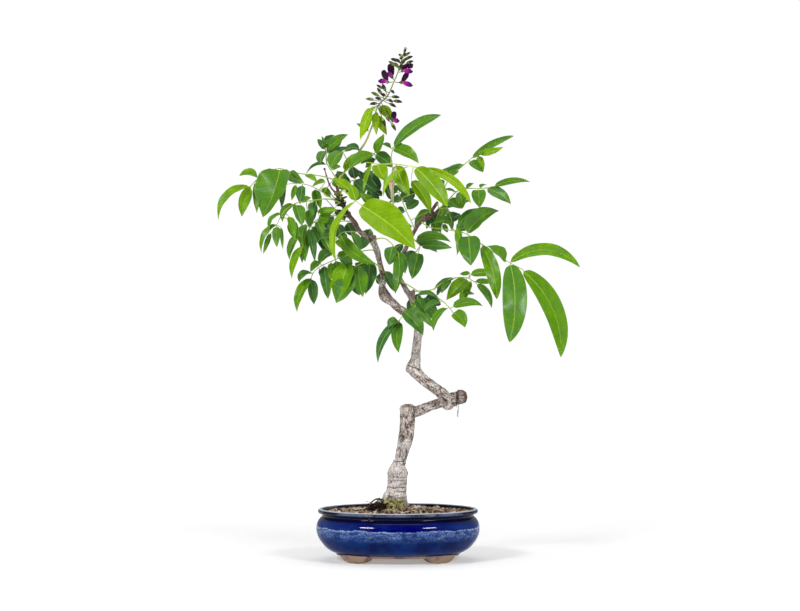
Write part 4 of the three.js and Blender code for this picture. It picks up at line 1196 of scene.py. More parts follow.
LIMBS: dict[str, Limb] = {
    "trunk": Limb((
        (-4, 34, 0, 12), (-4, 56, 0, 15), (-4, 66, 0, 18.5), (-4.7, 74, 0, 19), (-4.2, 82, 0, 17.4),
        (-2, 94, 0, 13.8), (-0.7, 108, 0, 13.5), (0, 118, 0, 14.8), (1, 127, 0, 10.6),
        (3.4, 135, 0, 8.2), (6.4, 148, 0, 9.1), (9.8, 161, 0, 10.3), (12, 175, -1, 10),
        (13, 188, -1, 10.3), (13.6, 202, -2, 11.3), (13.6, 205.6, -2, 10.8),
    ), (1.0, 0.8)),
    "cross": Limb((
        (14, 198, -2, 7.6), (25, 200, 0, 7.4), (43, 207, 3, 6.5), (57, 211.5, 5, 6.7), (72, 215, 3, 8.6),
    ), (0.8, 0.86)),
    "cut_stub": Limb((
        (66, 213, 2, 8.4), (75, 216.5, 2, 10.2), (79, 218, 2, 8.8), (84, 219.5, 2, 10.2), (89.5, 221, 2, 8.6),
    ), (0.95, 0.2)),
    "return_limb": Limb((
        (68, 214, 0, 8), (59, 224, -6, 7.8), (44, 235.5, -8, 7.3), (31, 245.5, -6, 7.4), (21.5, 256, -3, 8.6),
    ), (0.84, 0.92)),
    "riser": Limb((
        (20.5, 254, -3, 8.4), (21.5, 262, -2, 9.3), (23.6, 270, -1, 7.3), (24.6, 283, 0, 5.9),
        (26, 296, 0, 5.9), (27.4, 306, 0, 6.1), (26.6, 319, 0, 5.9), (23.5, 331, 0, 7.4),
    ), (0.92, 0.84)),
    "left_arm": Limb((
        (25, 324, 0, 5.6), (13.5, 330.5, -2, 6), (1.3, 338.5, -4, 5.5), (-8, 347, -6, 5.8),
        (-17.5, 355.5, -8, 8), (-21, 366, -8, 5.2), (-20.6, 376, -7, 3.9), (-20, 382, -7, 4.1),
        (-22.5, 391, -6, 3.6), (-25.4, 404, -4, 3.7), (-28.6, 417, -2, 4.1), (-33.4, 430, 0, 4.6),
        (-33.2, 436, 0, 4.2),
    ), (0.84, 0.5)),
    "left_twig": Limb((
        (-33, 427, 0, 4), (-40, 435, 2, 3.6), (-51, 441.5, 4, 3.4), (-59, 455, 6, 3.3), (-67, 465, 6, 3.2),
        (-73, 477, 5, 2.8), (-78, 489, 4, 2.5), (-82, 501, 4, 2.1), (-83.5, 514, 4, 1.7),
    ), (0.4, 0.05), 0.6),
    "budded_twig": Limb((
        (-79, 490, 4, 1.6), (-90, 501, 7, 1.3), (-95, 513, 9, 1.2), (-98.5, 525, 10, 0.9),
    ), (0.1, 0.0), 0.4),
    "right_arm": Limb((
        (24, 330, 0, 5.4), (21.5, 341, 3, 4.8), (19, 351, 5, 4.2), (12, 362, 7, 3.7), (5.4, 374, 9, 3.3),
        (-0.6, 386, 11, 3.5), (-2, 397, 12, 4), (3.4, 406, 12, 3.5), (9.4, 417, 12, 3.1),
        (17, 433, 10, 2.8), (23, 444, 8, 2.7), (29, 454, 6, 3), (40.5, 465, 4, 2.6),
        (47, 472.5, 3, 2.4), (53, 481.5, 2, 2.2),
    ), (0.45, 0.1), 0.6),
    "right_twig": Limb((
        (29, 453, 6, 2.3), (38, 458.5, 4, 1.9), (46.5, 463.5, -2, 1.8), (57, 473.5, -5, 1.7),
        (66, 480, -6, 1.5),
    ), (0.15, 0.0), 0.4),
    "fork_stub": Limb(((19, 350, 5, 3.2), (20, 357, 4, 3.2), (20.5, 362, 3, 2.6)), (0.3, 0.2), 0.6),
    "root_left": Limb((
        (-14, 76, -6, 3.2), (-22, 81, -10, 1.7), (-29, 82, -14, 1.3), (-37, 76, -20, 1.2),
        (-42, 65, -24, 1.2), (-44, 56, -25, 1.2),
    ), (0.35, 0.0), 0.6),
    "root_right": Limb((
        (6, 70, -4, 5), (14, 62, -8, 3.4), (24, 56, -12, 2.6), (34, 50, -16, 2.2),
    ), (0.9, 0.5)),
    "root_front": Limb((
        (-6, 76, -10, 5), (-9, 68, -20, 4), (-15, 60, -32, 3), (-20, 54, -40, 2.2),
    ), (0.9, 0.5)),
    "root_back": Limb(((-2, 78, 10, 6), (4, 71, 22, 4.4), (9, 63, 34, 3.2), (12, 55, 42, 2.4)), (0.9, 0.5)),
}

# Swellings of the wood: x seen, z seen, depth and half sizes in x, y and z.
KNUCKLES: Rows = (
    (67, 211, 1, 9.5, 9, 9.5), (6.6, 204, -2, 4.4, 6.0, 4.4), (9.5, 205, -2, 6.4, 7.0, 4.2),
    (20.5, 258, -3, 10.4, 9.6, 8.4), (-17.5, 355.5, -8, 8.2, 7.6, 7.2), (-33.5, 432, 0, 5.0, 4.6, 4.2),
    (24, 331, 0, 7.0, 6.4, 6.0), (19, 350, 5, 4.8, 4.4, 4.2), (-2, 396, 12, 4.6, 4.2, 4.6),
    (28, 453, 6, 3.6, 3.2, 3.2), (12, 175, -7.5, 3.2, 4.0, 4.6), (4.6, 158, -8.0, 2.6, 3.2, 4.0),
    (-67, 464, 5, 4.4, 4.2, 3.8), (-79, 489, 3, 3.6, 3.6, 4.4),
)

# Small buds and leaf scars on the twigs: x seen, z seen, depth, radius.
NODES_ON_TWIGS: Rows = (
    (-43, 438, -1, 1.9), (-52.5, 444, 0, 2.2), (-60, 452, 2, 2.1), (-65.5, 467, 2, 2.3), (-71, 472, 1, 2.2),
    (-76, 483, 1, 2.3), (-80.5, 494, 1, 2.0), (-83, 505, 1, 1.9), (-85, 492, 5, 1.5), (-92.5, 506, 6, 1.4),
    (-96.5, 517, 8, 1.4), (-98.8, 526.5, 9, 1.7), (8, 368, 4, 2.4), (-1.8, 389, 8, 2.5), (5.5, 409, 8.5, 2.3),
    (13.5, 426, 8.5, 2.1), (21, 441, 6, 2.0), (35, 460, 2.5, 1.9), (44, 469, 1, 1.8), (50, 477, 0.5, 1.8),
    (-22, 378, -10.4, 2.2), (-18.4, 384, -9.6, 1.9), (-24.5, 399, -7, 1.9), (-27.5, 412, -5.5, 2.1),
    (21, 363, 1, 1.8), (-50, 440, 6, 2.0), (-70, 474, 6.5, 1.9), (41, 461, 2, 1.5), (52, 470, -4.5, 1.5),
)

# Ring cracks of the base: height, where the ring is deepest, half reach in degrees, depth in millimetres.
RING_CRACKS: Rows = (
    (133.0, -100, 120, 0.9), (128.5, -40, 60, 0.5), (117.0, -110, 50, 0.5), (112.0, -70, 55, 0.5),
    (107.7, -95, 75, 0.8), (103.2, -50, 50, 0.6), (98.3, -95, 125, 1.1), (92.9, -55, 70, 1.0),
    (88.0, -110, 40, 0.5), (84.8, -80, 85, 0.9), (80.0, -60, 60, 0.7), (140.0, -60, 40, 0.5),
)

# Cracks, with painted shade in them, as seen places, then half width and depth.
CRACKS: tuple[tuple[Rows, float, float], ...] = (
    (((7, 133), (10.5, 128), (13.5, 121), (14, 112), (13.5, 105)), 1.0, 1.3),
    (((11.5, 148), (12.6, 143), (10.6, 137.5), (8.4, 133.5)), 1.1, 1.3),
    (((1.6, 139), (2.6, 144), (3.5, 149)), 0.8, 0.8),
    (((5.4, 168.5), (6.4, 164), (5.2, 159.5)), 1.3, 1.6),
    (((20.5, 207), (22.0, 200), (21.5, 193), (24.5, 190)), 0.8, 0.9),
    (((78.5, 227.5), (79.4, 221), (79.8, 215), (79.0, 209)), 1.2, 1.6),
    (((13.5, 262.5), (18, 260.5), (24, 258.4), (29.6, 255.7)), 0.8, 0.9),
    (((60, 219), (64.5, 214), (66, 208)), 0.9, 0.9),
    (((-24.5, 386), (-21, 384.5), (-17.5, 385)), 0.9, 0.8),
)

# Holes where small branches were cut: x seen, z seen, radius, depth.
HOLES: Rows = (
    (5.6, 165.0, 2.2, 3.0), (12.6, 178.5, 1.2, 0.9), (7.2, 172.5, 1.2, 1.0), (2.0, 150.5, 1.1, 0.9),
    (-6.0, 112.5, 1.0, 0.7), (-1.5, 111.5, 1.2, 0.8), (4.0, 117.5, 1.0, 0.6), (-9.5, 104.5, 1.3, 0.9),
    (-37.0, 430.5, 2.2, 1.6), (75.0, 224.0, 1.4, 0.9),
)


@dataclass
class Wood(MeshMaker):
    """Root crown, surface roots, bent trunk, cut stubs, branches and twigs, grown as one piece."""

    voxel: float = 0.76
    squeeze: float = 0.58
    pale_heights: Row = (72.0, 88.0, 116.0, 134.0, 158.0, 172.0, 246.0, 262.0, 330.0)
    pale_shares: Row = (0.2, 0.95, 0.8, 0.7, 0.5, 0.0, 0.05, 0.5, 0.45)
    # Bark grows darker below this height, near the soil.
    dark_below: float = 84.0
    dark_fade: float = 13.0
    cut_end: Row = (88.2, 220.8, 2)
    cut_reach: float = 14.0
    cut_facing: float = 0.35
    swells: Rows = ((5.5, 1.4, 1.0, 0.42), (2.3, 1.0, 2.0, 0.3))
    fissure_size: float = 2.8
    fissure_depth: float = 0.55

    def build(self, bark: Material, cut: Material) -> Thing:
        """Fuses the limbs and carves their bark.

        Args:
            bark: Finish of the wood.
            cut: Finish of the sawn ends.

        Returns:
            The piece.
        """
        lines = [limb.line() for limb in LIMBS.values()]
        fuse = {"mode": "VOXEL", "voxel_size": self.voxel * MM}
        self.add_limbs(lines)
        skin = self.shaped("wood", ("REMESH", fuse), ("SMOOTH", {"iterations": 3}))
        places = corner_places(skin)
        grain, age, lumps = self.follow_limbs(places, lines)
        darkening = self.carve(skin, places, grain, lumps)
        places = corner_places(skin)
        # Darker bark towards the bottom, near the soil, in patches.
        low_dark = np.clip((self.dark_below - places[:, 2]) / self.dark_fade, 0, 1)
        low_dark = low_dark * np.clip(0.6 + rough(places, 3.0, 9.0), 0, 1)
        pale = np.interp(places[:, 2], self.pale_heights, self.pale_shares) * (age > 0.8)
        set_values(skin, "grain", grain)
        set_values(skin, "wood", np.stack([age, np.maximum(darkening, low_dark * 0.85), pale], -1))
        piece = place(skin, [bark, cut], "bark", ["trunk"])
        self.mark_cuts(skin)
        return piece

    def add_limbs(self, lines: list[Array]) -> None:
        """Adds the overlapping limbs, knuckles and buds before they are fused.

        Args:
            lines: Sampled line of each limb.
        """
        for number, line in enumerate(lines):
            swell = 1 + 0.05 * rough(line[:, :3], 7.0, number)
            self.add_tube(line[:, :3], line[:, 3] * swell, 20)
        ball, faces = ball_corners(3)
        for x, z, y, *half in (*KNUCKLES, *NODES_ON_TWIGS):
            self.add(EYE.seen(x, z, y) + ball * half, faces)

    def follow_limbs(self, places: Array, lines: list[Array]) -> tuple[Array, Array, Array]:
        """Ties each corner to its limb.

        Args:
            places: Corners of the wood.
            lines: Sampled line of each limb.

        Returns:
            A place that runs along the limb, the age, and the strength of the lumps.
        """
        best = np.full(len(places), np.inf)
        grain = np.zeros_like(places)
        age, lumps = np.ones(len(places)), np.ones(len(places))
        for number, (limb, line) in enumerate(zip(LIMBS.values(), lines)):
            frame = np.stack(frames_along(line[:, :3]), 1)[:, [1, 2, 0]]
            gaps = np.linalg.norm(places[:, None] - line[None, :, :3], axis=2) - line[None, :, 3]
            nearest = gaps.argmin(axis=1)
            gap = gaps[np.arange(len(places)), nearest]
            closer = gap < best
            best[closer], picked = gap[closer], nearest[closer]
            within = np.einsum("ij,ikj->ik", places[closer] - line[picked, :3], frame[picked])
            within[:, 2] = (runs_along(line[:, :3])[picked] + within[:, 2]) * self.squeeze + number * 31.0
            grain[closer], lumps[closer] = within, limb.lumps
            age[closer] = np.interp(picked / (len(line) - 1), (0, 1), limb.age)
        return grain, age, lumps

    def carve(self, skin: Mesh, places: Array, grain: Array, lumps: Array) -> Array:
        """Raises lumps and fissures, cuts the cracks and holes, and paints shade into them.

        Args:
            skin: Fused wood.
            places: Its corners.
            grain: Places that run along the limbs.
            lumps: Strength of the lumps.

        Returns:
            Painted shade at each corner, 1 where a crack or hole is painted dark.
        """
        normals = read_rows(skin.vertex_normals, "vector")
        fissures = np.clip(0.42 - np.abs(rough(grain * (1, 1, 0.6), self.fissure_size, 3.0)) * 3, 0, 1)
        height = sum(rough(grain * (1, 1, run), size, seed) * rise for size, run, seed, rise in self.swells)
        height = (height - fissures * self.fissure_depth) * lumps
        # The darkening paints shade into the ring cracks, more where they are deeper, and into the cracks and
        # holes.
        darkening = np.zeros(len(places))
        angle = np.degrees(np.arctan2(places[:, 1], places[:, 0] - 2.0))
        for level, middle, reach, depth in RING_CRACKS:
            wander = rough(np.stack([angle / 9, np.full_like(angle, level), angle * 0], -1), 4.0) * 1.3
            side = np.clip(1.4 - np.abs((angle - middle + 180) % 360 - 180) / reach * 1.4, 0, 1)
            groove = bell(places[:, 2] - level - wander, 0.75) * side * (np.abs(places[:, 0] - 1) < 24)
            height -= groove * depth
            darkening = np.maximum(darkening, groove * min(1.0, depth) * 0.9)
        seen = EYE.on_plane(places)
        for line, half, depth in CRACKS:
            groove = bell(gap_to_line(seen, line), half) * (normals[:, 1] < 0.35)
            height -= groove * depth
            darkening = np.maximum(darkening, groove * 0.9)
        for x, z, radius, depth in HOLES:
            gap = np.hypot(seen[:, 0] - x, (seen[:, 1] - z) * 0.75)
            dent, rim = (bell(way, half) * (normals[:, 1] < 0.1) for way, half in (
                (gap, radius), (gap - radius * 1.7, radius * 0.5),
            ))
            height += rim * depth * 0.22 - dent * depth
            darkening = np.maximum(darkening, dent)
        moved = (places + normals * height[:, None]) * MM
        skin.vertices.foreach_set("co", moved.astype(np.float32).ravel())
        skin.update()
        return darkening

    def mark_cuts(self, skin: Mesh) -> None:
        """Gives the faces of the sawn stub end their own finish.

        Args:
            skin: The wood.
        """
        end = EYE.seen(*self.cut_end)
        for face in skin.polygons:
            centre = np.array(face.center) / MM
            near = centre[0] > end[0] and abs(centre[2] - end[2]) < self.cut_reach
            if near and face.normal.x > self.cut_facing:
                face.material_index = 1


def bell(gaps: Array, half: float) -> Array:
    """Gives 1 where a gap is 0, fading out smoothly by about twice the half width."""
    return np.exp(-((gaps / half) ** 2))


def gap_to_line(seen: Array, line: Rows) -> Array:
    """Measures how far seen places are from a line of seen points.

    Args:
        seen: Rows of x and z.
        line: Rows of x and z.

    Returns:
        A distance for each place.
    """
    nearest = np.full(len(seen), np.inf)
    points = np.array(line, float)
    for start, span in zip(points, np.diff(points, axis=0)):
        share = np.clip(((seen - start) @ span) / (span @ span), 0, 1)
        nearest = np.minimum(nearest, np.linalg.norm(seen - start - share[:, None] * span, axis=1))
    return nearest


# Fronds

# How much deeper than their tables the fronds spread towards the front and towards the back.
SPREAD_FRONT = 1.3
SPREAD_BACK = 0.93

# Seed of the first frond's random draws; each further frond has the next one.
FIRST_FROND_SEED = 40


@dataclass(frozen=True)
class FrondPlan:
    """Plan of one frond.

    The stalk has rows of x seen, z seen and depth. A leaflet has base x, base z, tip x, tip z, seen width,
    depth that the tip gains, turn in degrees, sideways bend and, where it differs, a brighter or darker tone.
    The darker tones are painted shade on leaflets that reach back into the crown, and some brighter ones are
    painted light on leaflets that reach forward.
    """

    stalk: Rows
    leaflets: Rows
    tone: float
    young: bool = False

    def line(self) -> Array:
        """Samples the stalk, with its depth spread."""
        return seen_line([(x, z, y * (SPREAD_FRONT if y < 0 else SPREAD_BACK)) for x, z, y in self.stalk], 8)


FRONDS: dict[str, FrondPlan] = {
    "frond_far_left": FrondPlan((
        (-83, 510, 4), (-92, 514, -10), (-110, 518, -22), (-130, 520, -30), (-146, 523, -36),
        (-160, 527, -42), (-176, 522, -46), (-190, 512, -48), (-198, 504, -50),
    ), (
        (-158, 529, -182, 461, 37, -18, 12, -3, 0.1), (-186, 515, -214, 517, 14, -6, 25, 3),
        (-168, 526, -185, 513, 11, 20, 10, 0), (-198, 504, -242, 458, 12, -6, 20, 13),
        (-198, 503, -210, 462, 12, 14, -25, 3), (-148, 523, -126, 508, 12, -20, 20, 3),
        (-126, 519, -109, 509, 9, -14, -20, 0), (-187, 505, -190, 467, 6.5, -14, 10, 0),
        (-189, 508, -190, 467, 7, 16, 5, 0), (-155, 516, -156, 474, 9, 14, 5, 0, -0.2),
    ), 0.6),
    "frond_left_low": FrondPlan((
        (-73, 477, 5), (-82, 484, 22), (-93, 489, 34), (-108, 499, 44), (-122, 505, 54), (-135, 507, 62),
        (-150, 506, 70),
    ), (
        (-128, 506, -132, 479, 12, 8, 20, 0), (-150, 506, -157, 472, 7, 10, 50, 0),
        (-150, 506, -174, 494, 12, 22, 20, -3), (-112, 500, -109, 478, 11, 6, -15, 0),
        (-136, 506, -143, 484, 6, 6, -10, 0), (-98, 509, -116, 502, 8, 10, 10, 2, 0.1),
        (-101, 501, -91, 488, 8, 8, 20, 0), (-87, 511, -69, 498, 12, -6, 15, 0),
        (-86, 513, -63, 507, 13, 6, -10, -4, -0.4), (-112, 498, -104, 472, 8, 6, -15, 0, 0.1),
    ), 0.5),
    "frond_left_front": FrondPlan((
        (-73, 477, 5), (-84, 484, -14), (-98, 486, -30), (-115, 484, -42), (-138, 480, -54), (-152, 471, -62),
        (-160, 458, -68), (-165, 446, -72),
    ), (
        (-138, 480, -155, 455, 10, -18, 15, 5), (-137, 478, -129, 449, 12, -16, -15, 0),
        (-156, 470, -173, 444, 7, -14, 30, 6), (-146, 462, -139, 431, 9, -20, -20, 0, 0.2),
        (-162, 450, -163, 421, 9, -16, 10, 0), (-160, 452, -184, 414, 9, -2, 35, 6),
        (-115, 484, -113, 464, 9, -14, 30, 0), (-171, 440, -181.5, 412, 6.5, 16, 5, 0),
        (-157.5, 448, -155, 418.5, 4, 6, -10, 0, 0.1), (-142.5, 455, -137.5, 430.5, 12, -14, 10, 0),
        (-138.5, 478, -126.5, 453.5, 13.5, 12, -20, 0, 0.1), (-85, 474, -109, 451, 12, -8, 15, 0),
        (-117, 470, -125, 456.5, 8, 16, 5, 0), (-128, 479, -117, 487.5, 8, -14, 10, 0),
        (-113, 480, -114, 456, 10, 8, 15, 0, -0.1), (-108, 468, -82, 470, 7, -6, 20, -2, 0.1),
        (-106, 463, -90, 455, 11, 6, 10, 0, 0.1), (-122, 470, -118, 447, 10, 10, -10, 0),
    ), 0.54),
    "frond_left_drop": FrondPlan((
        (-67, 464, 6), (-80, 464, -12), (-95, 462, -26), (-109, 458, -38), (-118, 449, -46), (-126, 434, -54),
        (-128, 424, -58),
    ), (
        (-120, 446, -125, 401, 11, -16, 15, 2), (-129, 424, -143, 379, 9, -12, 10, 4, 0.2),
        (-125, 452, -128, 421, 11, -14, 25, 2, 0.1), (-117, 446, -112, 401, 9, -18, -20, 0, -0.1),
        (-108, 458, -100, 436, 10, -14, -10, 0), (-98, 462, -88, 443, 13, -16, 20, 0),
        (-135, 437, -146, 404, 9, -14, 10, 3), (-120, 453, -105, 431, 10, 16, 5, 0),
        (-113, 455, -97, 434, 11, 10, -10, 0, -0.1), (-125, 424, -129, 400, 6, 6, 10, 0),
    ), 0.54),
    "frond_left_under": FrondPlan((
        (-51, 441.5, 4), (-62, 442, -14), (-74, 441, -28), (-80, 436, -38), (-86, 429, -46),
    ), (
        (-78, 437, -28, 398, 15, -22, 10, 8), (-84, 432, -103, 433, 10, -24, 20, 3),
        (-100, 434, -90, 413, 10, -10, -10, 0), (-64, 442, -50, 417, 11, 6, -20, 0),
        (-36.5, 445.5, -50, 417.5, 12, 16, -20, 0, -0.3), (-81, 430.5, -76.5, 420, 5.5, -8, 15, 0),
        (-70, 442, -74, 420, 7, 16, 5, 0),
    ), 0.5),
    "frond_left_hanging": FrondPlan((
        (-28.6, 417, -2), (-40, 417, 18), (-56, 414, 34), (-75, 408, 44), (-90, 402, 50), (-103, 396, 54),
        (-113, 388, 56), (-117, 380, 56),
    ), (
        (-88, 415, -106, 398, 14, -12, 10, 3, -0.1), (-106, 402, -118, 388, 10, -18, 10, 0),
        (-113, 387, -133, 374, 11, -16, 20, 5), (-117, 381, -136, 334, 12, -8, 10, 6),
        (-117, 379, -113, 344, 12, 10, -10, 0), (-106, 393, -87, 365, 13, 14, -15, 0),
        (-100, 397, -94, 351, 11, -14, 15, 0), (-84, 405, -77, 380, 13, 12, 10, 0),
        (-99.5, 383.5, -94, 351.5, 11, 12, -20, 0, 0.3), (-90, 401, -90, 377, 6.5, -8, 15, 0, 0.3),
        (-82, 410, -61, 402.5, 11, 6, -10, -3), (-89, 402, -91, 377, 7, -14, 10, 0),
    ), 0.58),
    "frond_left_inner": FrondPlan((
        (-22.5, 391, -6), (-31, 399, -16), (-41, 401, -24), (-52, 398, -32), (-60, 393, -38), (-66, 388, -42),
    ), (
        (-66, 389, -83, 346, 23, -16, 5, -2), (-61, 393, -81, 409, 11, -10, -10, 0),
        (-53, 398, -47, 354, 18, -18, -15, 2), (-39, 401, -44, 358, 19, -22, 15, -2),
        (-59, 394, -63, 367, 10, 6, 20, 0), (-67.5, 400, -83.5, 346, 23, -14, 10, 0, 0.1),
        (-17.5, 389, -4, 360.5, 12, 10, -10, 0, -0.2),
    ), 0.52),
    "young_centre": FrondPlan((
        (-78, 489, 4), (-75, 497, -14), (-66, 491, -32), (-57, 483, -46), (-50, 478, -54),
    ), (
        (-50, 477, 24, 418, 35, -34, 10, -4), (-59, 484, -83, 402, 9, -30, 35, 14),
        (-64.5, 498, -87.5, 514, 13.5, 18, 10, 0, -0.3), (-54, 484.5, -63.5, 506, 11, 16, -20, 0, -0.3),
        (-37.5, 479, -51, 494, 12, 12, 15, 0, -0.3),
    ), 0.6, True),
    "frond_top_left": FrondPlan((
        (-83.5, 514, 4), (-90, 524, 12), (-96, 535, 18), (-97, 550, 24), (-99, 559, 27),
    ), (
        (-97, 551, -108, 567, 9, 12, 10, 0, -0.2), (-97, 552, -103, 532, 11, -12, 20, 3),
        (-98, 560, -85, 572, 8, 10, -10, -2, -0.2), (-96, 550, -67, 573, 11, -8, 15, -3, 0.1),
        (-93, 530, -75, 553, 15, 14, 10, 0, 0.1), (-95, 533, -124, 520, 7, 8, 25, 5, -0.2),
        (-91, 526, -77, 529, 6, -10, 10, -2, -0.2), (-97, 553, -103, 571, 5, -14, 10, 0, 0.2),
        (-93, 547, -75, 567, 11, 8, 15, 0), (-93, 539, -66, 556, 8, -10, 15, -3, -0.2),
    ), 0.5),
    "frond_crown_left": FrondPlan((
        (-65, 531, 3), (-70, 541, -2), (-75, 551, -4),
    ), (
        (-75, 551, -90, 526, 15, -22, 10, 3), (-75, 550, -52, 550, 9, -14, 15, -8, -0.1),
    ), 0.5),
    "frond_crown_middle": FrondPlan((
        (-51.5, 551, -1), (-42, 550, -8), (-32, 547, -14),
    ), (
        (-32, 547, -66, 525, 16, -20, 10, 4), (-35, 547, -50, 533, 9, -6, 0, 0),
        (-31, 549, -19, 574, 12, -14, -10, 2, 0.35), (-31, 548, -7, 528, 15, 4, 10, -2, -0.1),
        (-30, 540, -44, 528, 10, 8, 10, 0, -0.2), (-72, 524, -50, 549, 9, 10, 10, -3, 0.1),
    ), 0.58),
    "young_upper_front": FrondPlan((
        (-58, 541, 1), (-46, 537, -14), (-34, 534, -26), (-24, 533, -34), (-3, 533, -46), (16, 530, -54),
        (35, 528, -60),
    ), (
        (23, 529, 66, 476, 20, -34, 10, -3), (35, 528, 98, 480, 9, -24, 20, -10),
        (-2, 533, 16, 490, 16, -14, 10, 2), (13, 531, -20, 489, 7, -40, 25, 8),
        (-28, 534, -14, 509, 17, -22, 0, 2), (-36, 535, -47, 495, 6, -16, 40, 0),
        (18, 510, 44, 466, 14, 18, 10, -4, -0.3),
    ), 0.42, True),
    "frond_upper_spray": FrondPlan((
        (-9, 533.4, -42.6), (-9, 543, -40), (-7, 555, -38),
    ), (
        (-7, 555, 58, 599, 13, -20, 10, -7), (-7, 555, 28, 534, 15, -26, 5, -3),
        (-7, 555, 6, 561, 8, 6, 10, 0), (-8, 554, -22, 560, 8, -10, 10, 0),
    ), 0.62),
    "frond_upper_right": FrondPlan((
        (66, 480, -6), (62, 490, 4), (63, 502, 16), (73, 517, 30), (90, 533, 46), (101, 542, 56),
        (111, 548, 64),
    ), (
        (90, 533, 57, 525, 10, 10, 10, -4), (80, 525, 67, 513, 9, -10, 10, 0),
        (64, 504, 50, 511, 8, 12, 10, 0), (99, 538, 156, 571, 8, 24, 20, -4),
        (109, 547, 142, 556, 7, -14, 30, 2), (98, 536, 115, 522, 10, -16, 10, 0, 0.2),
        (108, 545, 115, 523, 9, 6, 10, 0, 0.2), (84, 532, 62, 512, 9, 6, 10, 3),
    ), 0.48),
    "frond_right_middle": FrondPlan((
        (56, 472.5, -5), (69, 486, -20), (79, 496, -32), (90, 500, -42), (108, 500, -54), (120, 501, -62),
        (128, 503, -66),
    ), (
        (119, 501, 152, 479, 13, -18, 10, -3), (128, 503, 178, 509, 6, -14, 35, -5),
        (108, 500, 110, 474, 16, -16, 5, 0), (79, 496, 62, 499, 7, -12, 20, 0),
        (84, 498, 87, 473, 12, -14, 10, 0), (90, 500, 102, 507, 6, -14, 10, 0),
        (110, 503, 120, 505, 5, 12, -20, -2),
    ), 0.56),
    "frond_right_short": FrondPlan((
        (53, 479, 2), (56, 474, -8), (66, 474, -18),
    ), (
        (55, 473, 98, 483, 9, -10, 20, -3), (68, 484, 86, 473, 12, -14, 10, 0, 0.2),
        (69, 470, 73, 443, 7, 18, 10, 0, -0.1), (73, 454, 46, 453, 12, 8, 10, 4, 0.1),
        (50, 453, 53, 441, 10, 6, 10, 0), (60, 452, 67, 441, 6, 6, 10, 0, -0.1),
    ), 0.46),
    "frond_right_long": FrondPlan((
        (31, 455, 6), (43, 448, -8), (57, 446, -18), (70, 444, -26), (92, 439, -38), (113, 425, -48),
        (131, 413, -54), (149, 401, -60), (168, 391, -64),
    ), (
        (93, 440, 136, 470, 21, -16, 5, -7), (79, 447, 79, 410, 8, -14, 35, -4, -0.1),
        (94, 439, 98, 396, 25, -26, 5, 0), (114, 425, 133, 351, 16, -24, 10, -4),
        (147, 402, 120, 423, 16, -12, 10, 0, -0.1), (151, 401, 150, 293, 27, -30, 5, -6),
        (149, 401, 245, 394, 14, -8, 15, -23), (168, 391, 219, 273, 22, -18, 10, -15),
        (82, 450, 112, 473, 9, 8, 10, -5, -0.2),
    ), 0.63),
    "frond_mid_right": FrondPlan((
        (17, 433, 10), (19, 434, -6), (23, 430, -18), (30, 423, -28),
    ), (
        (23, 431, 71, 428, 11, -14, 15, -7), (30, 423, 73, 420, 11, -24, 20, -2),
        (20, 430, 53, 414, 11, 6, 10, -3, -0.1), (27, 413, 19, 378, 17, -14, 0, 0),
        (24, 415, 4, 396, 11, 6, 10, 2), (19, 407, 2, 391, 8, 12, 10, 0),
    ), 0.5),
    "frond_mid_front": FrondPlan((
        (-33.4, 430, 0), (-25, 433, -16), (-16, 432, -30), (-7, 424, -42), (1, 412, -52),
    ), (
        (-7, 424, -13, 398, 14, -12, 10, 0), (1, 412, -4, 358, 12, -24, 15, -3),
        (-2, 417, 10, 386, 14, 6, 10, 0), (6.5, 425.5, -12, 397, 12, 18, 10, 0, -0.3),
    ), 0.5),
    "frond_lower_right": FrondPlan((
        (5.4, 374, 9), (14, 370, -6), (31, 360, -22), (43, 358, -32), (55, 352, -40), (64, 345, -46),
        (72, 336, -50), (77, 329, -52),
    ), (
        (59, 354, 25, 354, 8, -14, 15, 8), (26, 352, 39, 330, 11, -18, 10, 0),
        (59, 348, 35, 335, 9, -18, 15, 3), (66, 339, 48, 308, 9, -16, 20, 6, -0.1),
        (71, 332, 90, 313, 15, -14, 5, -3), (74, 341, 114, 342, 10, -16, 20, -6),
    ), 0.54),
    "frond_lower_far": FrondPlan((
        (12, 362, 7), (28, 362, 26), (46, 364, 40), (57, 371, 48), (73, 379, 56), (93, 380, 64),
        (105, 373, 68),
    ), (
        (77, 381, 48, 363, 7, -12, 10, 4), (92, 380, 65, 350, 17, -18, 5, 0),
        (100, 377, 83, 344, 12, 8, 10, 0), (107, 372, 126, 339, 9, -10, 10, -5),
        (98, 384, 134, 381, 9, 16, 20, -5), (104, 378, 130, 374, 7, 12, 10, 0),
        (71, 377, 58, 359, 9, -14, 10, 0), (97, 386, 83, 385, 5, 12, -20, 0),
        (87, 361, 103, 358, 5, -8, 15, 0), (62, 374, 52, 356, 9, 18, 10, 0, -0.2),
    ), 0.56),
    "frond_fork_front": FrondPlan((
        (19, 350, 5), (24, 344, -10), (20, 339, -20), (16, 337, -26),
    ), (
        (17, 345, 48, 312, 11, -10, 15, -2), (8, 335, 34, 303, 18, -16, 0, -2),
    ), 0.56),
    "frond_fork_left": FrondPlan((
        (11, 332, -2), (7, 329, -14), (2, 323, -22),
    ), (
        (2, 323, -13, 312, 12, -10, 10, 2), (2, 323, -27, 265, 11, -14, 15, 8),
        (1, 321, 1, 279, 13, -8, 0, 3),
    ), 0.56),
    # The back fronds have low tones: painted shade inside the crown.
    "back_fork": FrondPlan((
        (20.5, 347, 4), (27, 350, 24), (32, 352, 46), (35, 352, 68), (37, 348, 88),
    ), (
        (28, 350, 50, 336, 14, 8, 0, 0), (29, 351, 12, 334, 14, 10, 0, 0), (35, 351, 14, 345, 15, 10, 10, 0),
        (37, 348, 52, 322, 14, 22, 10, 0), (37, 348, 26, 318, 14, 24, 10, 0),
        (34, 352, 58, 344, 15, 18, 10, 0, -0.3),
    ), 0.3),
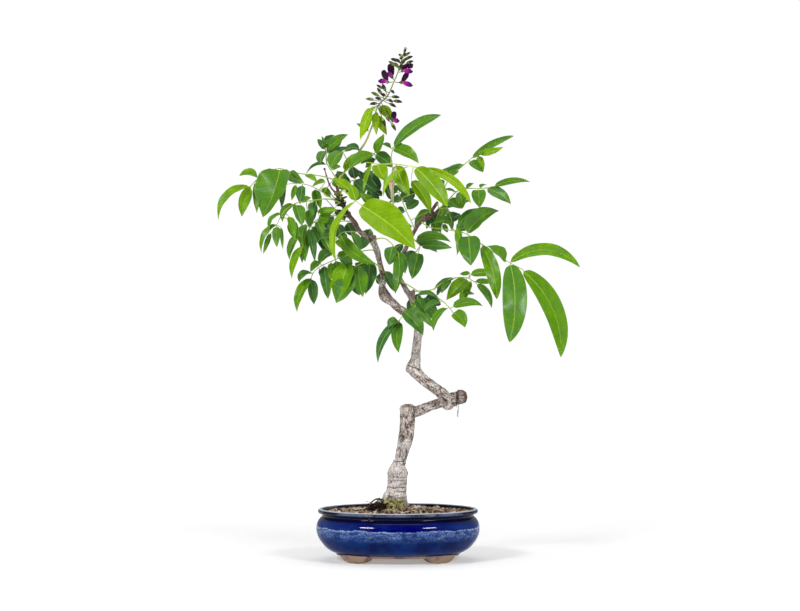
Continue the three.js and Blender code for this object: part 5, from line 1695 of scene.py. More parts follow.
    "back_lower_left": FrondPlan((
        (-21, 366, -8), (-28, 378, 14), (-38, 387, 38), (-48, 391, 62), (-56, 389, 84), (-62, 382, 100),
    ), (
        (-32, 382, -16, 372, 15, 14, 10, 0), (-40, 388, -58, 400, 14, 6, 0, 0),
        (-47, 391, -36, 368, 15, 14, 10, 0), (-60, 384, -52, 356, 15, 16, 10, 0),
        (-62, 382, -78, 356, 15, 18, 10, 0), (-52, 391, -75, 384, 14, 18, 10, 0, -0.3),
    ), 0.28),
    "back_left": FrondPlan((
        (-59, 455, 6), (-66, 456, 30), (-76, 456, 54), (-88, 452, 76), (-98, 444, 94),
    ), (
        (-68, 456, -60, 436, 14, 10, 10, 0), (-82, 454, -76, 430, 14, 14, 10, 0),
        (-97, 445, -92, 418, 15, 16, 10, 0), (-98, 444, -118, 424, 15, 16, 0, 0),
        (-107.5, 435, -89, 409, 11, 18, 10, 0, -0.3), (-85, 444, -105, 433.5, 11, 12, -20, 0),
        (-86, 453, -104, 466, 14, 12, 15, 0, -0.3), (-71, 456, -84, 472, 13, 20, 5, 0, -0.3),
    ), 0.28),
    "back_upper_left": FrondPlan((
        (-82, 501, 4), (-74, 506, 26), (-64, 510, 50), (-54, 512, 74), (-46, 509, 98), (-40, 502, 116),
    ), (
        (-70, 508, -82, 524, 12, 8, 0, 0), (-61, 511, -44, 496, 14, 12, 10, 0),
        (-48, 510, -30, 496, 14, 8, 10, 0), (-47, 509, -34, 524, 13, 8, 0, 0),
        (-40, 502, -28, 476, 14, 14, 10, 0), (-41, 503, -58, 484, 14, 14, 0, 0),
        (-21.5, 490, -36.5, 498, 9.5, 18, 10, 0, -0.3), (-24, 498, -44.5, 525, 13.5, 16, -20, 0, -0.3),
        (-46, 511.5, -54, 525, 8, 12, 15, 0, -0.3), (-58, 511, -62, 530, 13, 20, 5, 0, -0.3),
        (-73, 507, -60, 488, 12, 10, -10, 0, -0.3),
    ), 0.26),
    "back_centre": FrondPlan((
        (23, 444, 8), (18, 456, 30), (12, 468, 54), (7, 480, 78), (3, 490, 100), (1, 494, 118),
    ), (
        (20, 450, 0, 440, 13, 12, 10, 0), (10, 471, 28, 484, 14, 10, 0, 0),
        (11, 470, -8, 466, 14, 12, 10, 0), (5, 484, -12, 482, 14, 12, 10, 0),
        (1, 494, -18, 504, 13, 12, 0, 0), (19, 500.5, -1.5, 480.5, 12, 18, 10, 0, -0.3),
        (23, 494, 6.5, 482, 11, 16, -20, 0, -0.3), (-8, 484.5, -19, 511.5, 11, 12, 15, 0, -0.3),
        (43, 470, 22, 445, 13, 20, 5, 3, 0.1), (5, 485, 22, 500, 14, 18, 10, 0, -0.3),
        (1, 494, 14, 512, 13, 16, -20, 0, -0.3),
    ), 0.26),
    "back_right": FrondPlan((
        (40.5, 465, 4), (50, 462, 28), (60, 457, 52), (70, 450, 76), (78, 441, 98), (84, 431, 114),
    ), (
        (53, 460, 66, 474, 13, 8, 0, 0), (62, 456, 50, 446, 12, 12, 10, 0),
        (78, 444, 100, 452, 14, 6, 0, 0), (88, 434, 98, 408, 14, 16, 10, 0),
        (84, 431, 106, 416, 15, 14, 0, 0), (43, 470, 58, 440, 12, 18, 10, 0, -0.3),
        (56.5, 465.5, 46, 441.5, 11, 16, -20, 0, -0.3), (51, 461, 38, 446, 13, 12, 15, 0, -0.3),
        (64, 455, 84, 466, 14, 20, 5, 0, -0.3),
    ), 0.3),
}
FLOWER_SHOOT = FrondPlan((
    (-82.6, 508, 4, 1.5), (-74, 520, 2, 1.5), (-65, 531, 3, 1.5), (-58, 541, 1, 1.4), (-51.5, 551, -1, 1.4),
    (-43, 564, -4, 1.2), (-38, 576, -6, 1.2), (-32, 592, -8, 1.1), (-28.5, 609, -9, 1),
), (
    (-36, 609, -51, 565, 11, -16, 10, 0), (-38, 606, -46, 572, 9, 10, -20, 0),
    (-31, 606, -29, 572, 8, -14, 20, 0), (-28, 609, -8, 590, 13, 12, 10, -3),
    (-29, 601, -15, 572, 9, 8, 20, 0), (-39, 577, -56, 588, 7, 8, 10, 0),
), 0.45, True)
DRIED_LEAF = FrondPlan(((-3, 533, -46), (-3, 529, -51)), ((-3, 529, -4, 470, 9, -6, 35, 3),), 0.5)

# The way that the upper side of a leaf turns: towards the front and the light.
LEAF_FACING = np.array([0.0, -0.84, 0.54])

# The way that a leaf's middle arches out.
ARCH_WAY = np.array([0.0, -1.0, 0.0])

# Leaflets at least this long, and at most this share of it wide, are oblong.
OBLONG_LENGTH = 66.0
OBLONG_WIDTH = 0.33

# Share of a blade's length that its drawn-out tip takes.
DRAWN_TIP = 0.09

# Waves along each half of a blade, and how far in radians those of its two halves are apart.
BLADE_WAVES = 2.6
BLADE_SHIFT = 1.7

# Angles in degrees beyond which an edge of a leaf, or of a petal, is sharp.
LEAF_CREASE = 55.0
PETAL_CREASE = 60.0


class Outline(Enum):
    """Outlines of blades: powers of the share from the base and from the tip, and how drawn the tip is."""

    LEAFLET = (0.56, 0.95, 0.5)
    OBLONG = (0.5, 0.62, 0.5)
    PETAL = (0.55, 0.34, 0.0)
    WING = (0.7, 0.42, 0.0)

    def half(self, share: Array) -> Array:
        """Finds the half width at shares of the length.

        Args:
            share: Shares of the length from the base.

        Returns:
            Half widths, 1 where it is widest.
        """
        rise, fall, drawn = self.value
        widest = rise / (rise + fall)
        greatest = widest**rise * (1 - widest) ** fall
        return share**rise * (1 - share) ** fall / greatest * (1 - drawn * np.exp((share - 1) / DRAWN_TIP))


@dataclass
class Blade:
    """A thin, folded and arched blade from its base to its tip, in millimetres."""

    base: Array
    tip: Array
    width: float
    turn: float = 0.0
    bend: float = 0.0
    arch: float = 0.1
    fold: float = 0.24
    dish: float = 0.1
    wave: float = 0.07
    twist: float = 0.0
    thick: float = 0.34
    phase: float = 0.0
    outline: Outline = Outline.LEAFLET

    def add_to(self, maker: MeshMaker, stations: int, columns: int, dress: Callable[..., dict]) -> None:
        """Adds its closed surface to a piece.

        Args:
            maker: The piece.
            stations: Steps along it.
            columns: Steps across it, an even number so that one line of corners is the midrib.
            dress: Makes the named values of the corners from their run, place across, millimetres from the
                midrib, and 1 on the lower side.
        """
        share = np.linspace(0, 1, stations + 1) ** 0.92
        across = np.linspace(-1, 1, columns + 1)
        across = np.sign(across) * np.abs(across) ** 1.15
        centre, sideways, normal = self.middle(share)
        half = (self.width / 2 * self.outline.half(np.clip(share, 0.0, 1.0)) + 0.1)[:, None]
        offset = half * across
        waves = 2 * math.pi * (share[:, None] * BLADE_WAVES + self.phase)
        ripple = np.sin(waves + (across > 0) * BLADE_SHIFT)
        lift = np.abs(offset) * self.fold + half * (self.wave * ripple - self.dish) * across**2
        rib = np.exp(-((offset / 0.5) ** 2)) * (1 - 0.7 * share)[:, None] * min(1.0, self.width / 16)
        upper = centre[:, None] + sideways[:, None] * offset[..., None]
        upper = upper + normal[:, None] * (lift - rib * 0.1)[..., None]
        depth = self.thick * (1 - 0.6 * across**4) + rib * 0.3
        lower = upper - normal[:, None] * depth[..., None]
        marks = np.stack(np.broadcast_arrays(share[:, None], across, np.abs(offset)), -1).reshape(-1, 3)
        under = np.repeat([0.0, 1.0], len(marks))
        corners = np.vstack([upper.reshape(-1, 3), lower.reshape(-1, 3)])
        maker.add(corners, self.faces(stations, columns), **dress(np.tile(marks, (2, 1)), under))

    def middle(self, share: Array) -> tuple[Array, Array, Array]:
        """Finds its midrib.

        Args:
            share: Shares of the length.

        Returns:
            Places, the way across and the way that the upper side faces.
        """
        span = self.tip - self.base
        length = np.linalg.norm(span)
        along = span / length
        front = unit(LEAF_FACING - along * (LEAF_FACING @ along))
        plain = np.cross(along, front)
        control = (self.base + self.tip) / 2 + ARCH_WAY * 2 * self.arch * length + plain * 2 * self.bend
        share = share[:, None]
        centre = self.base * (1 - share) ** 2 + control * 2 * share * (1 - share) + self.tip * share**2
        tangent = unit(2 * (control - self.base) * (1 - share) + 2 * (self.tip - control) * share)
        angle = np.radians(self.turn + self.twist * (share - 0.4))
        sideways = plain * np.cos(angle) + np.cross(along, plain) * np.sin(angle)
        sideways = unit(sideways - tangent * np.sum(sideways * tangent, axis=1, keepdims=True))
        return centre, sideways, np.cross(sideways, tangent)

    def faces(self, stations: int, columns: int) -> Faces:
        """Makes the faces of the upper side, the lower side and the edge between them.

        Args:
            stations: Steps along it.
            columns: Steps across it.

        Returns:
            The faces.
        """
        row = columns + 1
        upper = np.arange(row * (stations + 1)).reshape(-1, row)
        quads = [upper[:-1, :-1], upper[:-1, 1:], upper[1:, 1:], upper[1:, :-1]]
        made = np.stack(quads, -1).reshape(-1, 4)
        rim = np.concatenate([upper[0], upper[1:, -1], upper[-1, -2::-1], upper[-2:0:-1, 0]])
        edge = np.stack([rim, rim + upper.size, np.roll(rim, -1) + upper.size, np.roll(rim, -1)], -1)
        return [*map(tuple, made), *map(tuple, made[:, ::-1] + upper.size), *map(tuple, edge)]


@dataclass
class Frond(MeshMaker):
    """Leaflets of one frond, with the stalks that carry them."""

    plan: FrondPlan
    stalk_radius: float = 0.85
    stalk_tip_radius: float = 0.55
    petiolule: float = 2.2
    broader: float = 1.18
    tone_spread: float = 0.11
    swell: tuple[float, float] = (0.7, 3.0)
    rooted_within: float = 4.0
    station_step: float = 2.6
    column_step: float = 2.4
    shapes: tuple[tuple[str, float, float], ...] = (
        ("arch", 0.07, 0.14), ("fold", 0.36, 0.8), ("dish", 0.05, 0.16), ("wave", 0.03, 0.1),
        ("twist", -16, 16), ("phase", 0, 1),
    )

    def build(self, node: str, mature: Material, young: Material) -> None:
        """Makes the stalk, swollen where it leaves the wood, and its leaflets.

        Args:
            node: CAD node that it stands for.
            mature: Finish of grown leaves.
            young: Finish of young leaves.
        """
        line = self.plan.line()
        more, reach = self.swell
        radii = np.linspace(self.stalk_radius, self.stalk_tip_radius, len(line))
        self.add_tube(line, radii + more * bell(runs_along(line), reach), 8, **self.stalk_values(0.5, 1.0))
        self.add_leaflets(line)
        finish, slot = (young, "young_leaf") if self.plan.young else (mature, "leaf")
        self.place(f"{node}_leaves", finish, slot, [node], LEAF_CREASE)

    def stalk_values(self, tone: float, stalk: float) -> dict[str, Row]:
        """Gives the values of a stalk, by its tone and by how much it is coloured as one."""
        return {"blade": (0.5, 0.0, 3.0), "leaf": (tone, 0.0, stalk)}

    def add_leaflets(self, line: Array) -> None:
        """Adds leaflets, each on its own short stalk from the nearest place of the frond's stalk.

        Args:
            line: Middle of the frond's stalk.
        """
        draw = self.draw
        for x, z, tip_x, tip_z, width, gain, turn, bend, *shift in self.plan.leaflets:
            gaps = [np.linalg.norm(spot - EYE.seen(x, z, spot[1])) for spot in line]
            root = line[int(np.argmin(gaps))]
            tip = EYE.seen(tip_x, tip_z, root[1] + gain)
            base = root + unit(tip - root) * self.petiolule
            if min(gaps) > self.rooted_within:
                base = EYE.seen(x, z, root[1] + gain * 0.15)
            oblong = OBLONG_LENGTH < np.linalg.norm(tip - base) > width / OBLONG_WIDTH
            tone = self.plan.tone + sum(shift) + draw.normal(0, self.tone_spread)
            blade = Blade(
                base, tip, width * self.broader / math.cos(math.radians(turn)), turn, bend,
                outline=Outline.OBLONG if oblong else Outline.LEAFLET,
                **{name: draw.uniform(low, high) for name, low, high in self.shapes},
            )
            self.add_leaflet(root, blade, float(np.clip(tone, 0.0, 1.0)))

    def add_leaflet(self, root: Array, blade: Blade, tone: float) -> None:
        """Adds one leaflet.

        Args:
            root: Place on the frond's stalk.
            blade: Its blade.
            tone: Its tone.
        """
        stations = int(np.clip(np.linalg.norm(blade.tip - blade.base) / self.station_step, 10, 34))
        columns = 2 * int(np.clip(blade.width / self.column_step, 3, 8))
        finer = (1, 1, np.clip(22.0 / blade.width, 0.8, 2.0))
        blade.add_to(self, stations, columns, lambda marks, under: {
            "blade": marks * finer, "leaf": np.stack([np.full_like(under, tone), under, under * 0], -1),
        })
        path = smooth_line(np.vstack([root, blade.middle(np.array([0.0, 0.1]))[0]]), 4)
        radii = np.interp(np.linspace(0, 1, len(path)), [0, 0.15, 0.4, 1], [0.62, 0.66, 0.46, 0.22])
        self.add_tube(path, radii, 6, **self.stalk_values(tone, 0.8))


# Flowers


@dataclass(frozen=True)
class FlowerPlan:
    """Plan of one open pea flower, with its places as x and z seen."""

    foot: Row
    base: Row
    banner: Row
    keel: Row
    depth: float
    width: float
    keel_shade: float = 1.0


RACEME_AXIS: Rows = (
    (-28.5, 609.3, -9, 0.9), (-24, 615, -9, 0.9), (-14, 625, -10, 0.9), (-7, 640, -10, 0.8),
    (0, 657, -10, 0.8), (4.5, 671, -10, 0.7), (8, 683, -10, 0.6), (9.6, 690.2, -10, 0.5),
    (12.5, 688.5, -10, 0.4),
)
RACEME_DEPTH = -10.0

# Closed buds: foot x, foot z, bud x, bud z, depth that it gains, half length, half width.
CLOSED_BUDS: Rows = (
    (4, 670, -5, 673, -4, 4, 2.1), (2, 661, -8, 668, 3, 4.4, 2.2), (5, 672, 15, 676, -3, 4, 2),
    (6, 676, 13, 681, 3, 3.4, 1.7), (8, 682, 9.5, 685.5, -3, 3, 1.6), (7, 677, 3.6, 679, 3, 3.4, 1.8),
    (4, 668, 0, 672, -5, 3.6, 1.9), (3, 666, 7, 670, -5, 4, 2.1), (5, 672, 11, 674, -5, 3.6, 1.9),
    (3, 665, 16, 670, 1, 3.8, 1.9), (2, 661, -2, 666, -5, 4, 2), (1, 659, 8, 663, 4, 4, 2.1),
    (6, 675, 4, 675, -5, 3.4, 1.8), (7, 679, 9, 680.5, -4, 3.2, 1.7), (1, 659, 3.6, 664, -6, 3.8, 2),
    (-14, 625, -19, 636, -5, 4.2, 2.2), (-18, 621, -25, 631, 3, 4.2, 2.1), (-18, 621, -31, 627, -4, 4.2, 2.1),
    (-21, 618, -38, 620, 3, 4, 2), (-24, 615, -33, 614, -4, 4, 2.1), (-24, 615, -35, 607, 4, 3.6, 1.8),
    (-15, 624, -20, 626, -7, 4, 2.1), (-20, 619, -27, 621, -7, 4, 2), (-12, 629, -25, 637, 5, 3.6, 1.8),
    (-15, 624, -3, 623, -4, 4, 2), (-19, 620, 0, 617, 4, 4.4, 2.2), (-10, 633, -7, 630, -6, 3.6, 1.8),
    (-20, 619, -7, 612, -6, 4, 2), (-17, 622, -10, 618, -7, 3.8, 1.9),
    (-25, 614, -6, 583, -8, 4.4, 2.2), (-27, 612, -19, 589, -6, 4.4, 2.3), (-26, 613, -14, 594, -7, 3.8, 1.9),
)

FLORETS: tuple[FlowerPlan, ...] = (
    FlowerPlan((-6.7, 643.5), (-14, 643.5), (-20.4, 659.5), (-26.4, 644.5), -15, 7.5),
    FlowerPlan((-5.4, 646), (-8, 650), (-10.4, 668.5), (-15, 655.5), -5, 8.5),
    FlowerPlan((1.3, 656.5), (6, 658.5), (10.5, 665.5), (19.6, 657), -14, 6),
    FlowerPlan((-4, 643.4), (4.5, 643), (13.4, 656.5), (19.4, 638), -7, 6.5),
    FlowerPlan((-23, 616), (-6.5, 591), (-5.2, 604), (1.6, 591), -14, 6.5),
    FlowerPlan((4, 668), (9, 665), (20.6, 666.6), (19.6, 664), -5, 4.5, 0.12),
)


@dataclass
class FlowerShoot(MeshMaker):
    """Upright green shoot with its young leaves, which carries the raceme."""

    knot_swell: float = 0.25
    leaf_seed: int = 90

    def build(self, stem: Material, young: Material) -> None:
        """Makes the stem and its leaves as two pieces.

        Args:
            stem: Finish of the stem.
            young: Finish of the leaves.
        """
        line = seen_line(FLOWER_SHOOT.stalk, 8)
        share = np.linspace(0, 1, len(line))
        radii = line[:, 3] * (1 + self.knot_swell * bell((share * 8 % 1) - 0.5, 0.12))
        for start in range(0, len(line) - 8, 8):
            piece = slice(start, start + 9)
            self.add_tube(line[piece, :3], radii[piece], 14, stem=(share[start], 0.0, 0.0))
        self.place("flower_shoot_stem", stem, "flower_stalk", ["flower_shoot"])
        leaves = Frond(FLOWER_SHOOT, seed=self.leaf_seed)
        leaves.add_leaflets(line[:, :3])
        leaves.place("flower_shoot_leaves", young, "young_leaf", crease=LEAF_CREASE)


@dataclass
class Raceme(MeshMaker):
    """Axis of the flower spike with its silky buds and calyces."""

    longer: float = 1.4
    broader: float = 1.04
    stalk_radius: float = 0.48
    bud_tones: Row = (0.0, 0.12, 0.34, 0.5)
    seed: int = 120

    def build(self, skin: Material) -> None:
        """Makes the axis, the buds and the calyces.

        Args:
            skin: Their finish.
        """
        line = seen_line(RACEME_AXIS, 6)
        self.add_tube(line[:, :3], line[:, 3], 10, bud=(0.72, 0, 0))
        for foot_x, foot_z, x, z, gain, *size in CLOSED_BUDS:
            self.add_bud(EYE.seen(foot_x, foot_z, RACEME_DEPTH), EYE.seen(x, z, RACEME_DEPTH + gain), *size)
        for plan in FLORETS:
            self.add_calyx(EYE.seen(*plan.foot, RACEME_DEPTH), EYE.seen(*plan.base, plan.depth))
        self.place("raceme_stalks", skin, "flower_stalk", ["raceme"])

    def add_bud(self, foot: Array, centre: Array, length: float, width: float) -> None:
        """Adds a pointed bud in its cup, on a thin bent stalk.

        Args:
            foot: Place on the axis.
            centre: Middle of the bud.
            length: Half its length.
            width: Half its width.
        """
        reach = unit(centre - foot) * length * self.longer
        width *= self.broader
        start = centre - reach
        bent = (foot + start) / 2 - UPWARD * 0.06 * np.linalg.norm(start - foot)
        self.add_tube(smooth_line([foot, bent, start], 5), self.stalk_radius, 7, bud=(0.5, 0, 0))
        share = np.linspace(0, 1, 12)
        spine = start + 2 * reach * share[:, None]
        spine = spine + UPWARD * (np.sin(share * math.pi) * width * 0.25)[:, None]
        swell = width * np.sin(math.pi * np.clip(share * 0.92 + 0.06, 0, 1)) ** 0.75
        tone = self.draw.choice(self.bud_tones)
        self.add_tube(spine, np.maximum(swell, 0.25), 12, bud=(tone, 0, 0))
        cup_tone = self.draw.uniform(0.5, 0.85)
        self.add_tube(spine[:5], np.maximum(swell[:5], 0.5) + 0.28, 12, bud=(cup_tone, 0, 0))

    def add_calyx(self, foot: Array, end: Array) -> None:
        """Adds the stalk and five-toothed cup of an open flower.

        Args:
            foot: Place on the axis.
            end: Mouth of the cup.
        """
        bud = (self.draw.uniform(0.35, 0.62), 0, 0)
        path = smooth_line([foot, (foot + end) / 2 - UPWARD * 0.4, end], 6)
        radii = np.interp(np.linspace(0, 1, len(path)), [0, 0.62, 0.74, 0.9, 1], [0.5, 0.55, 1.2, 2.0, 2.2])
        self.add_tube(path, radii, 15, bud=bud)
        away = unit(end - path[-3])
        side = unit(np.cross(away, UPWARD))
        for angle in round_angles(5):
            out = side * math.cos(angle) + np.cross(side, away) * math.sin(angle)
            tooth = [end + out * far + away * on for far, on in ((1.9, -0.6), (2.3, 0.7), (2.3, 1.8))]
            self.add_tube(np.array(tooth), np.array([0.6, 0.42, 0.14]), 6, bud=bud)


@dataclass
class OpenFlower(MeshMaker):
    """One pea flower: banner, two wings and a boat-shaped keel."""

    plan: FlowerPlan
    number: int
    wing_width: float = 6.6
    wing_turn: float = 40.0
    wing_share: float = 0.94

    def build(self, petal: Material) -> None:
        """Makes the petals as one piece.

        Args:
            petal: Their finish.
        """
        plan = self.plan
        calyx = EYE.seen(*plan.base, plan.depth)
        banner_tip = EYE.seen(*plan.banner, plan.depth + 1)
        keel_tip = EYE.seen(*plan.keel, plan.depth - 2)
        root = calyx + ((banner_tip + keel_tip) / 2 - calyx) * 0.05
        self.add_petal(0.0, Blade(
            root, banner_tip, plan.width * 1.12, 10.0,
            arch=-0.16, fold=-0.2, dish=-0.22, wave=0.08, thick=0.3, phase=0.2 * self.number,
            outline=Outline.PETAL,
        ))
        side = unit(np.cross(keel_tip - root, banner_tip - root))
        for sign in (-1, 1):
            wing_tip = root + (keel_tip - root) * self.wing_share + side * sign * 1.9
            self.add_petal(0.9 * plan.keel_shade, Blade(
                root + side * sign * 0.9, wing_tip, self.wing_width, self.wing_turn * sign,
                arch=0.12, fold=0.3, dish=0.3, thick=0.28, outline=Outline.WING,
            ))
        self.add_keel(root, keel_tip, unit(banner_tip - root))
        self.place(f"floret_{self.number}_petals", petal, "petal", [f"floret_{self.number}"], PETAL_CREASE)

    def add_petal(self, keel: float, blade: Blade) -> None:
        """Adds a banner, or a wing, whose colour is that of the keel by a share."""
        blade.add_to(self, 16, 12, lambda marks, _: {"petal": marks * (1, 1, 0) + (0, 0, keel)})

    def add_keel(self, root: Array, tip: Array, above: Array) -> None:
        """Adds the keel, which curves up towards its blunt tip.

        Args:
            root: Where it leaves the calyx.
            tip: Its tip.
            above: The way that the banner stands.
        """
        share = np.linspace(0, 1, 16)
        spine = root + (tip - root) * share[:, None] + above * (share**2.2 * 1.4 - share * 0.9)[:, None]
        radii = np.interp(share, [0, 0.2, 0.55, 0.85, 1], [0.8, 1.9, 2.9, 2.4, 0.9])
        for first in range(0, 15, 5):
            piece = slice(first, first + 6)
            self.add_tube(spine[piece], radii[piece], 14, petal=(0.12 + first / 15, 0, self.plan.keel_shade))


@dataclass
class TwigBuds(MeshMaker):
    """Cluster of resting buds round the left twig, with a few dead stalks."""

    twig: Rows = ((-72, 471, -1), (-77, 481, -1), (-80, 491, 0))
    buds: int = 46
    green_above: float = 480.0
    stalks: tuple[Rows, ...] = (
        ((-98, 487, -9), (-90, 478, -6), (-83, 471, -3), (-76, 470, -1)),
        ((-91, 495, -7), (-87, 489, -4), (-79, 484, -1)),
        ((-88, 465, -8), (-82, 468, -4), (-75, 471, -1)),
    )
    seed: int = 61

    def build(self, skin: Material) -> None:
        """Makes the buds and the stalks.

        Args:
            skin: Their finish.
        """
        draw = self.draw
        line = seen_line(self.twig, 10)
        share = np.linspace(0, 1, 7)[:, None]
        for spot in line[draw.integers(0, len(line), self.buds)]:
            way = unit(draw.normal(size=3) * (1.0, 0.5, 1.0) + (-0.3, -0.5, 0.1)) * draw.uniform(5.0, 11.0)
            tone = draw.uniform(0.4, 0.85) if spot[2] > self.green_above else draw.uniform(0.0, 0.34)
            radii = np.interp(share[:, 0], [0, 0.4, 0.8, 1], [0.7, 1.7, 1.3, 0.3])
            self.add_tube(spot + way * share + UPWARD * 1.2 * share**2, radii, 8, bud=(tone, 0, 0))
        for stalk in self.stalks:
            path = seen_line(stalk, 6)
            self.add_tube(path, np.linspace(0.4, 0.8, len(path)), 7, bud=(0.12, 0, 0))
        self.place("twig_buds", skin, "bark")


@dataclass
class DriedLeaf(MeshMaker):
    """One dead leaflet that has dried to a curled, hanging strip."""

    stalk_radius: float = 0.55

    def build(self, skin: Material) -> None:
        """Makes the strip and its stalk.

        Args:
            skin: Its finish.
        """
        line = DRIED_LEAF.line()
        x, z, tip_x, tip_z, width, gain, turn, bend = DRIED_LEAF.leaflets[0]
        depth = line[-1][1]
        self.add_tube(line, self.stalk_radius, 8, blade=(0.4, 0, 0))
        strip = Blade(
            EYE.seen(x, z, depth), EYE.seen(tip_x, tip_z, depth + gain), width, turn, bend,
            arch=0.05, fold=0.9, dish=0.35, wave=0.22, twist=95.0, thick=0.3,
        )
        strip.add_to(self, 44, 10, lambda marks, _: {"blade": marks})
        self.place("dried_leaf_strip", skin, "dried_leaf", ["dried_leaf"], PETAL_CREASE)


# Moss and tag


@dataclass
class MossPatch(MeshMaker):
    """Short moss shoots on the root crown and on the soil beside it."""

    shoots_on_wood: int = 5200
    shoots_on_soil: int = 3400
    length: float = 2.5
    rings: Rows = ((0.0, 0.3), (0.5, 0.42), (1.0, 0.06))
    crown_x: float = -7.0
    crown_low: float = 62.0
    crown_high: float = 96.0
    soil_middle: Row = (-8.0, -19.0)
    soil_spread: Row = (9.5, 7.0)
    seed: int = 300

    def build(self, wood: Thing, soil: GritSoil, moss: Material) -> None:
        """Grows the shoots.

        Args:
            wood: The piece that holds the root crown.
            soil: The soil beside it.
            moss: Their finish.
        """
        grounds = self.spots_on_wood(wood.data), self.spots_on_soil(soil)
        spots, ways = (np.vstack(rows) for rows in zip(*grounds))
        tufts = np.clip(0.44 + 1.25 * rough(spots, 3.4, 4.0), 0, 1)
        for spot, way, tuft in zip(spots, ways, tufts):
            self.add_shoot(spot, way, float(tuft))
        self.place("moss_shoots", moss, "soil")

    def spots_on_wood(self, wood: Mesh) -> tuple[Array, Array]:
        """Picks places on the lower left of the root crown.

        Args:
            wood: The mesh that holds it.

        Returns:
            Places and the ways that they face.
        """
        places, ways = corner_places(wood), read_rows(wood.vertex_normals, "vector")
        x, _, z = places.T
        cover = 1.15 - np.abs(x - self.crown_x) / 18 - np.maximum(z - 78, 0) / 13
        cover = cover + 0.55 * rough(places, 5.0, 6.0)
        near = (z > self.crown_low) & (z < self.crown_high) & (ways[:, 1] < 0.7)
        found = np.flatnonzero(near & (cover > 0.25))
        picked = self.draw.choice(found, min(self.shoots_on_wood, len(found)), replace=False)
        return places[picked], ways[picked]

    def spots_on_soil(self, soil: GritSoil) -> tuple[Array, Array]:
        """Picks places on the soil in front and on the left of the trunk.

        Args:
            soil: The soil.

        Returns:
            Places and the ways that the shoots grow.
        """
        spread = self.draw.normal(0, 1, (self.shoots_on_soil, 2)) * self.soil_spread + self.soil_middle
        flat = np.column_stack([spread, np.zeros(len(spread))])
        kept = flat[rough(flat, 6.0, 8.0) > -0.12]
        kept[:, 2] = soil.height(kept) + 0.2
        return kept, np.tile(UPWARD, (len(kept), 1))

    def add_shoot(self, spot: Array, way: Array, tuft: float) -> None:
        """Adds one bent, pointed shoot.

        Args:
            spot: Its foot.
            way: The way that its ground faces.
            tuft: Height and tone of its tuft, 0 to 1.
        """
        draw = self.draw
        grow = unit(way + UPWARD * 0.6 + draw.normal(0, 0.35, 3))
        bow = unit(np.cross(grow, draw.normal(size=3)))
        length = self.length * (0.45 + 0.75 * tuft) * draw.uniform(0.7, 1.25)
        angles = round_angles(3)[:, None]
        circle = bow * np.cos(angles) + np.cross(grow, bow) * np.sin(angles)
        corners = [
            spot - way * 0.3 + grow * length * share + bow * share**2 * length * 0.3 + circle * radius
            for share, radius in self.rings
        ]
        tone = np.clip(tuft * 1.5 + draw.normal(-0.1, 0.18), 0, 1)
        rise = np.repeat([0.1, 0.6, 1.0], 3)
        self.add(np.vstack(corners), ring_faces(3, 3), shoot=np.column_stack([rise, np.full(9, tone), rise]))


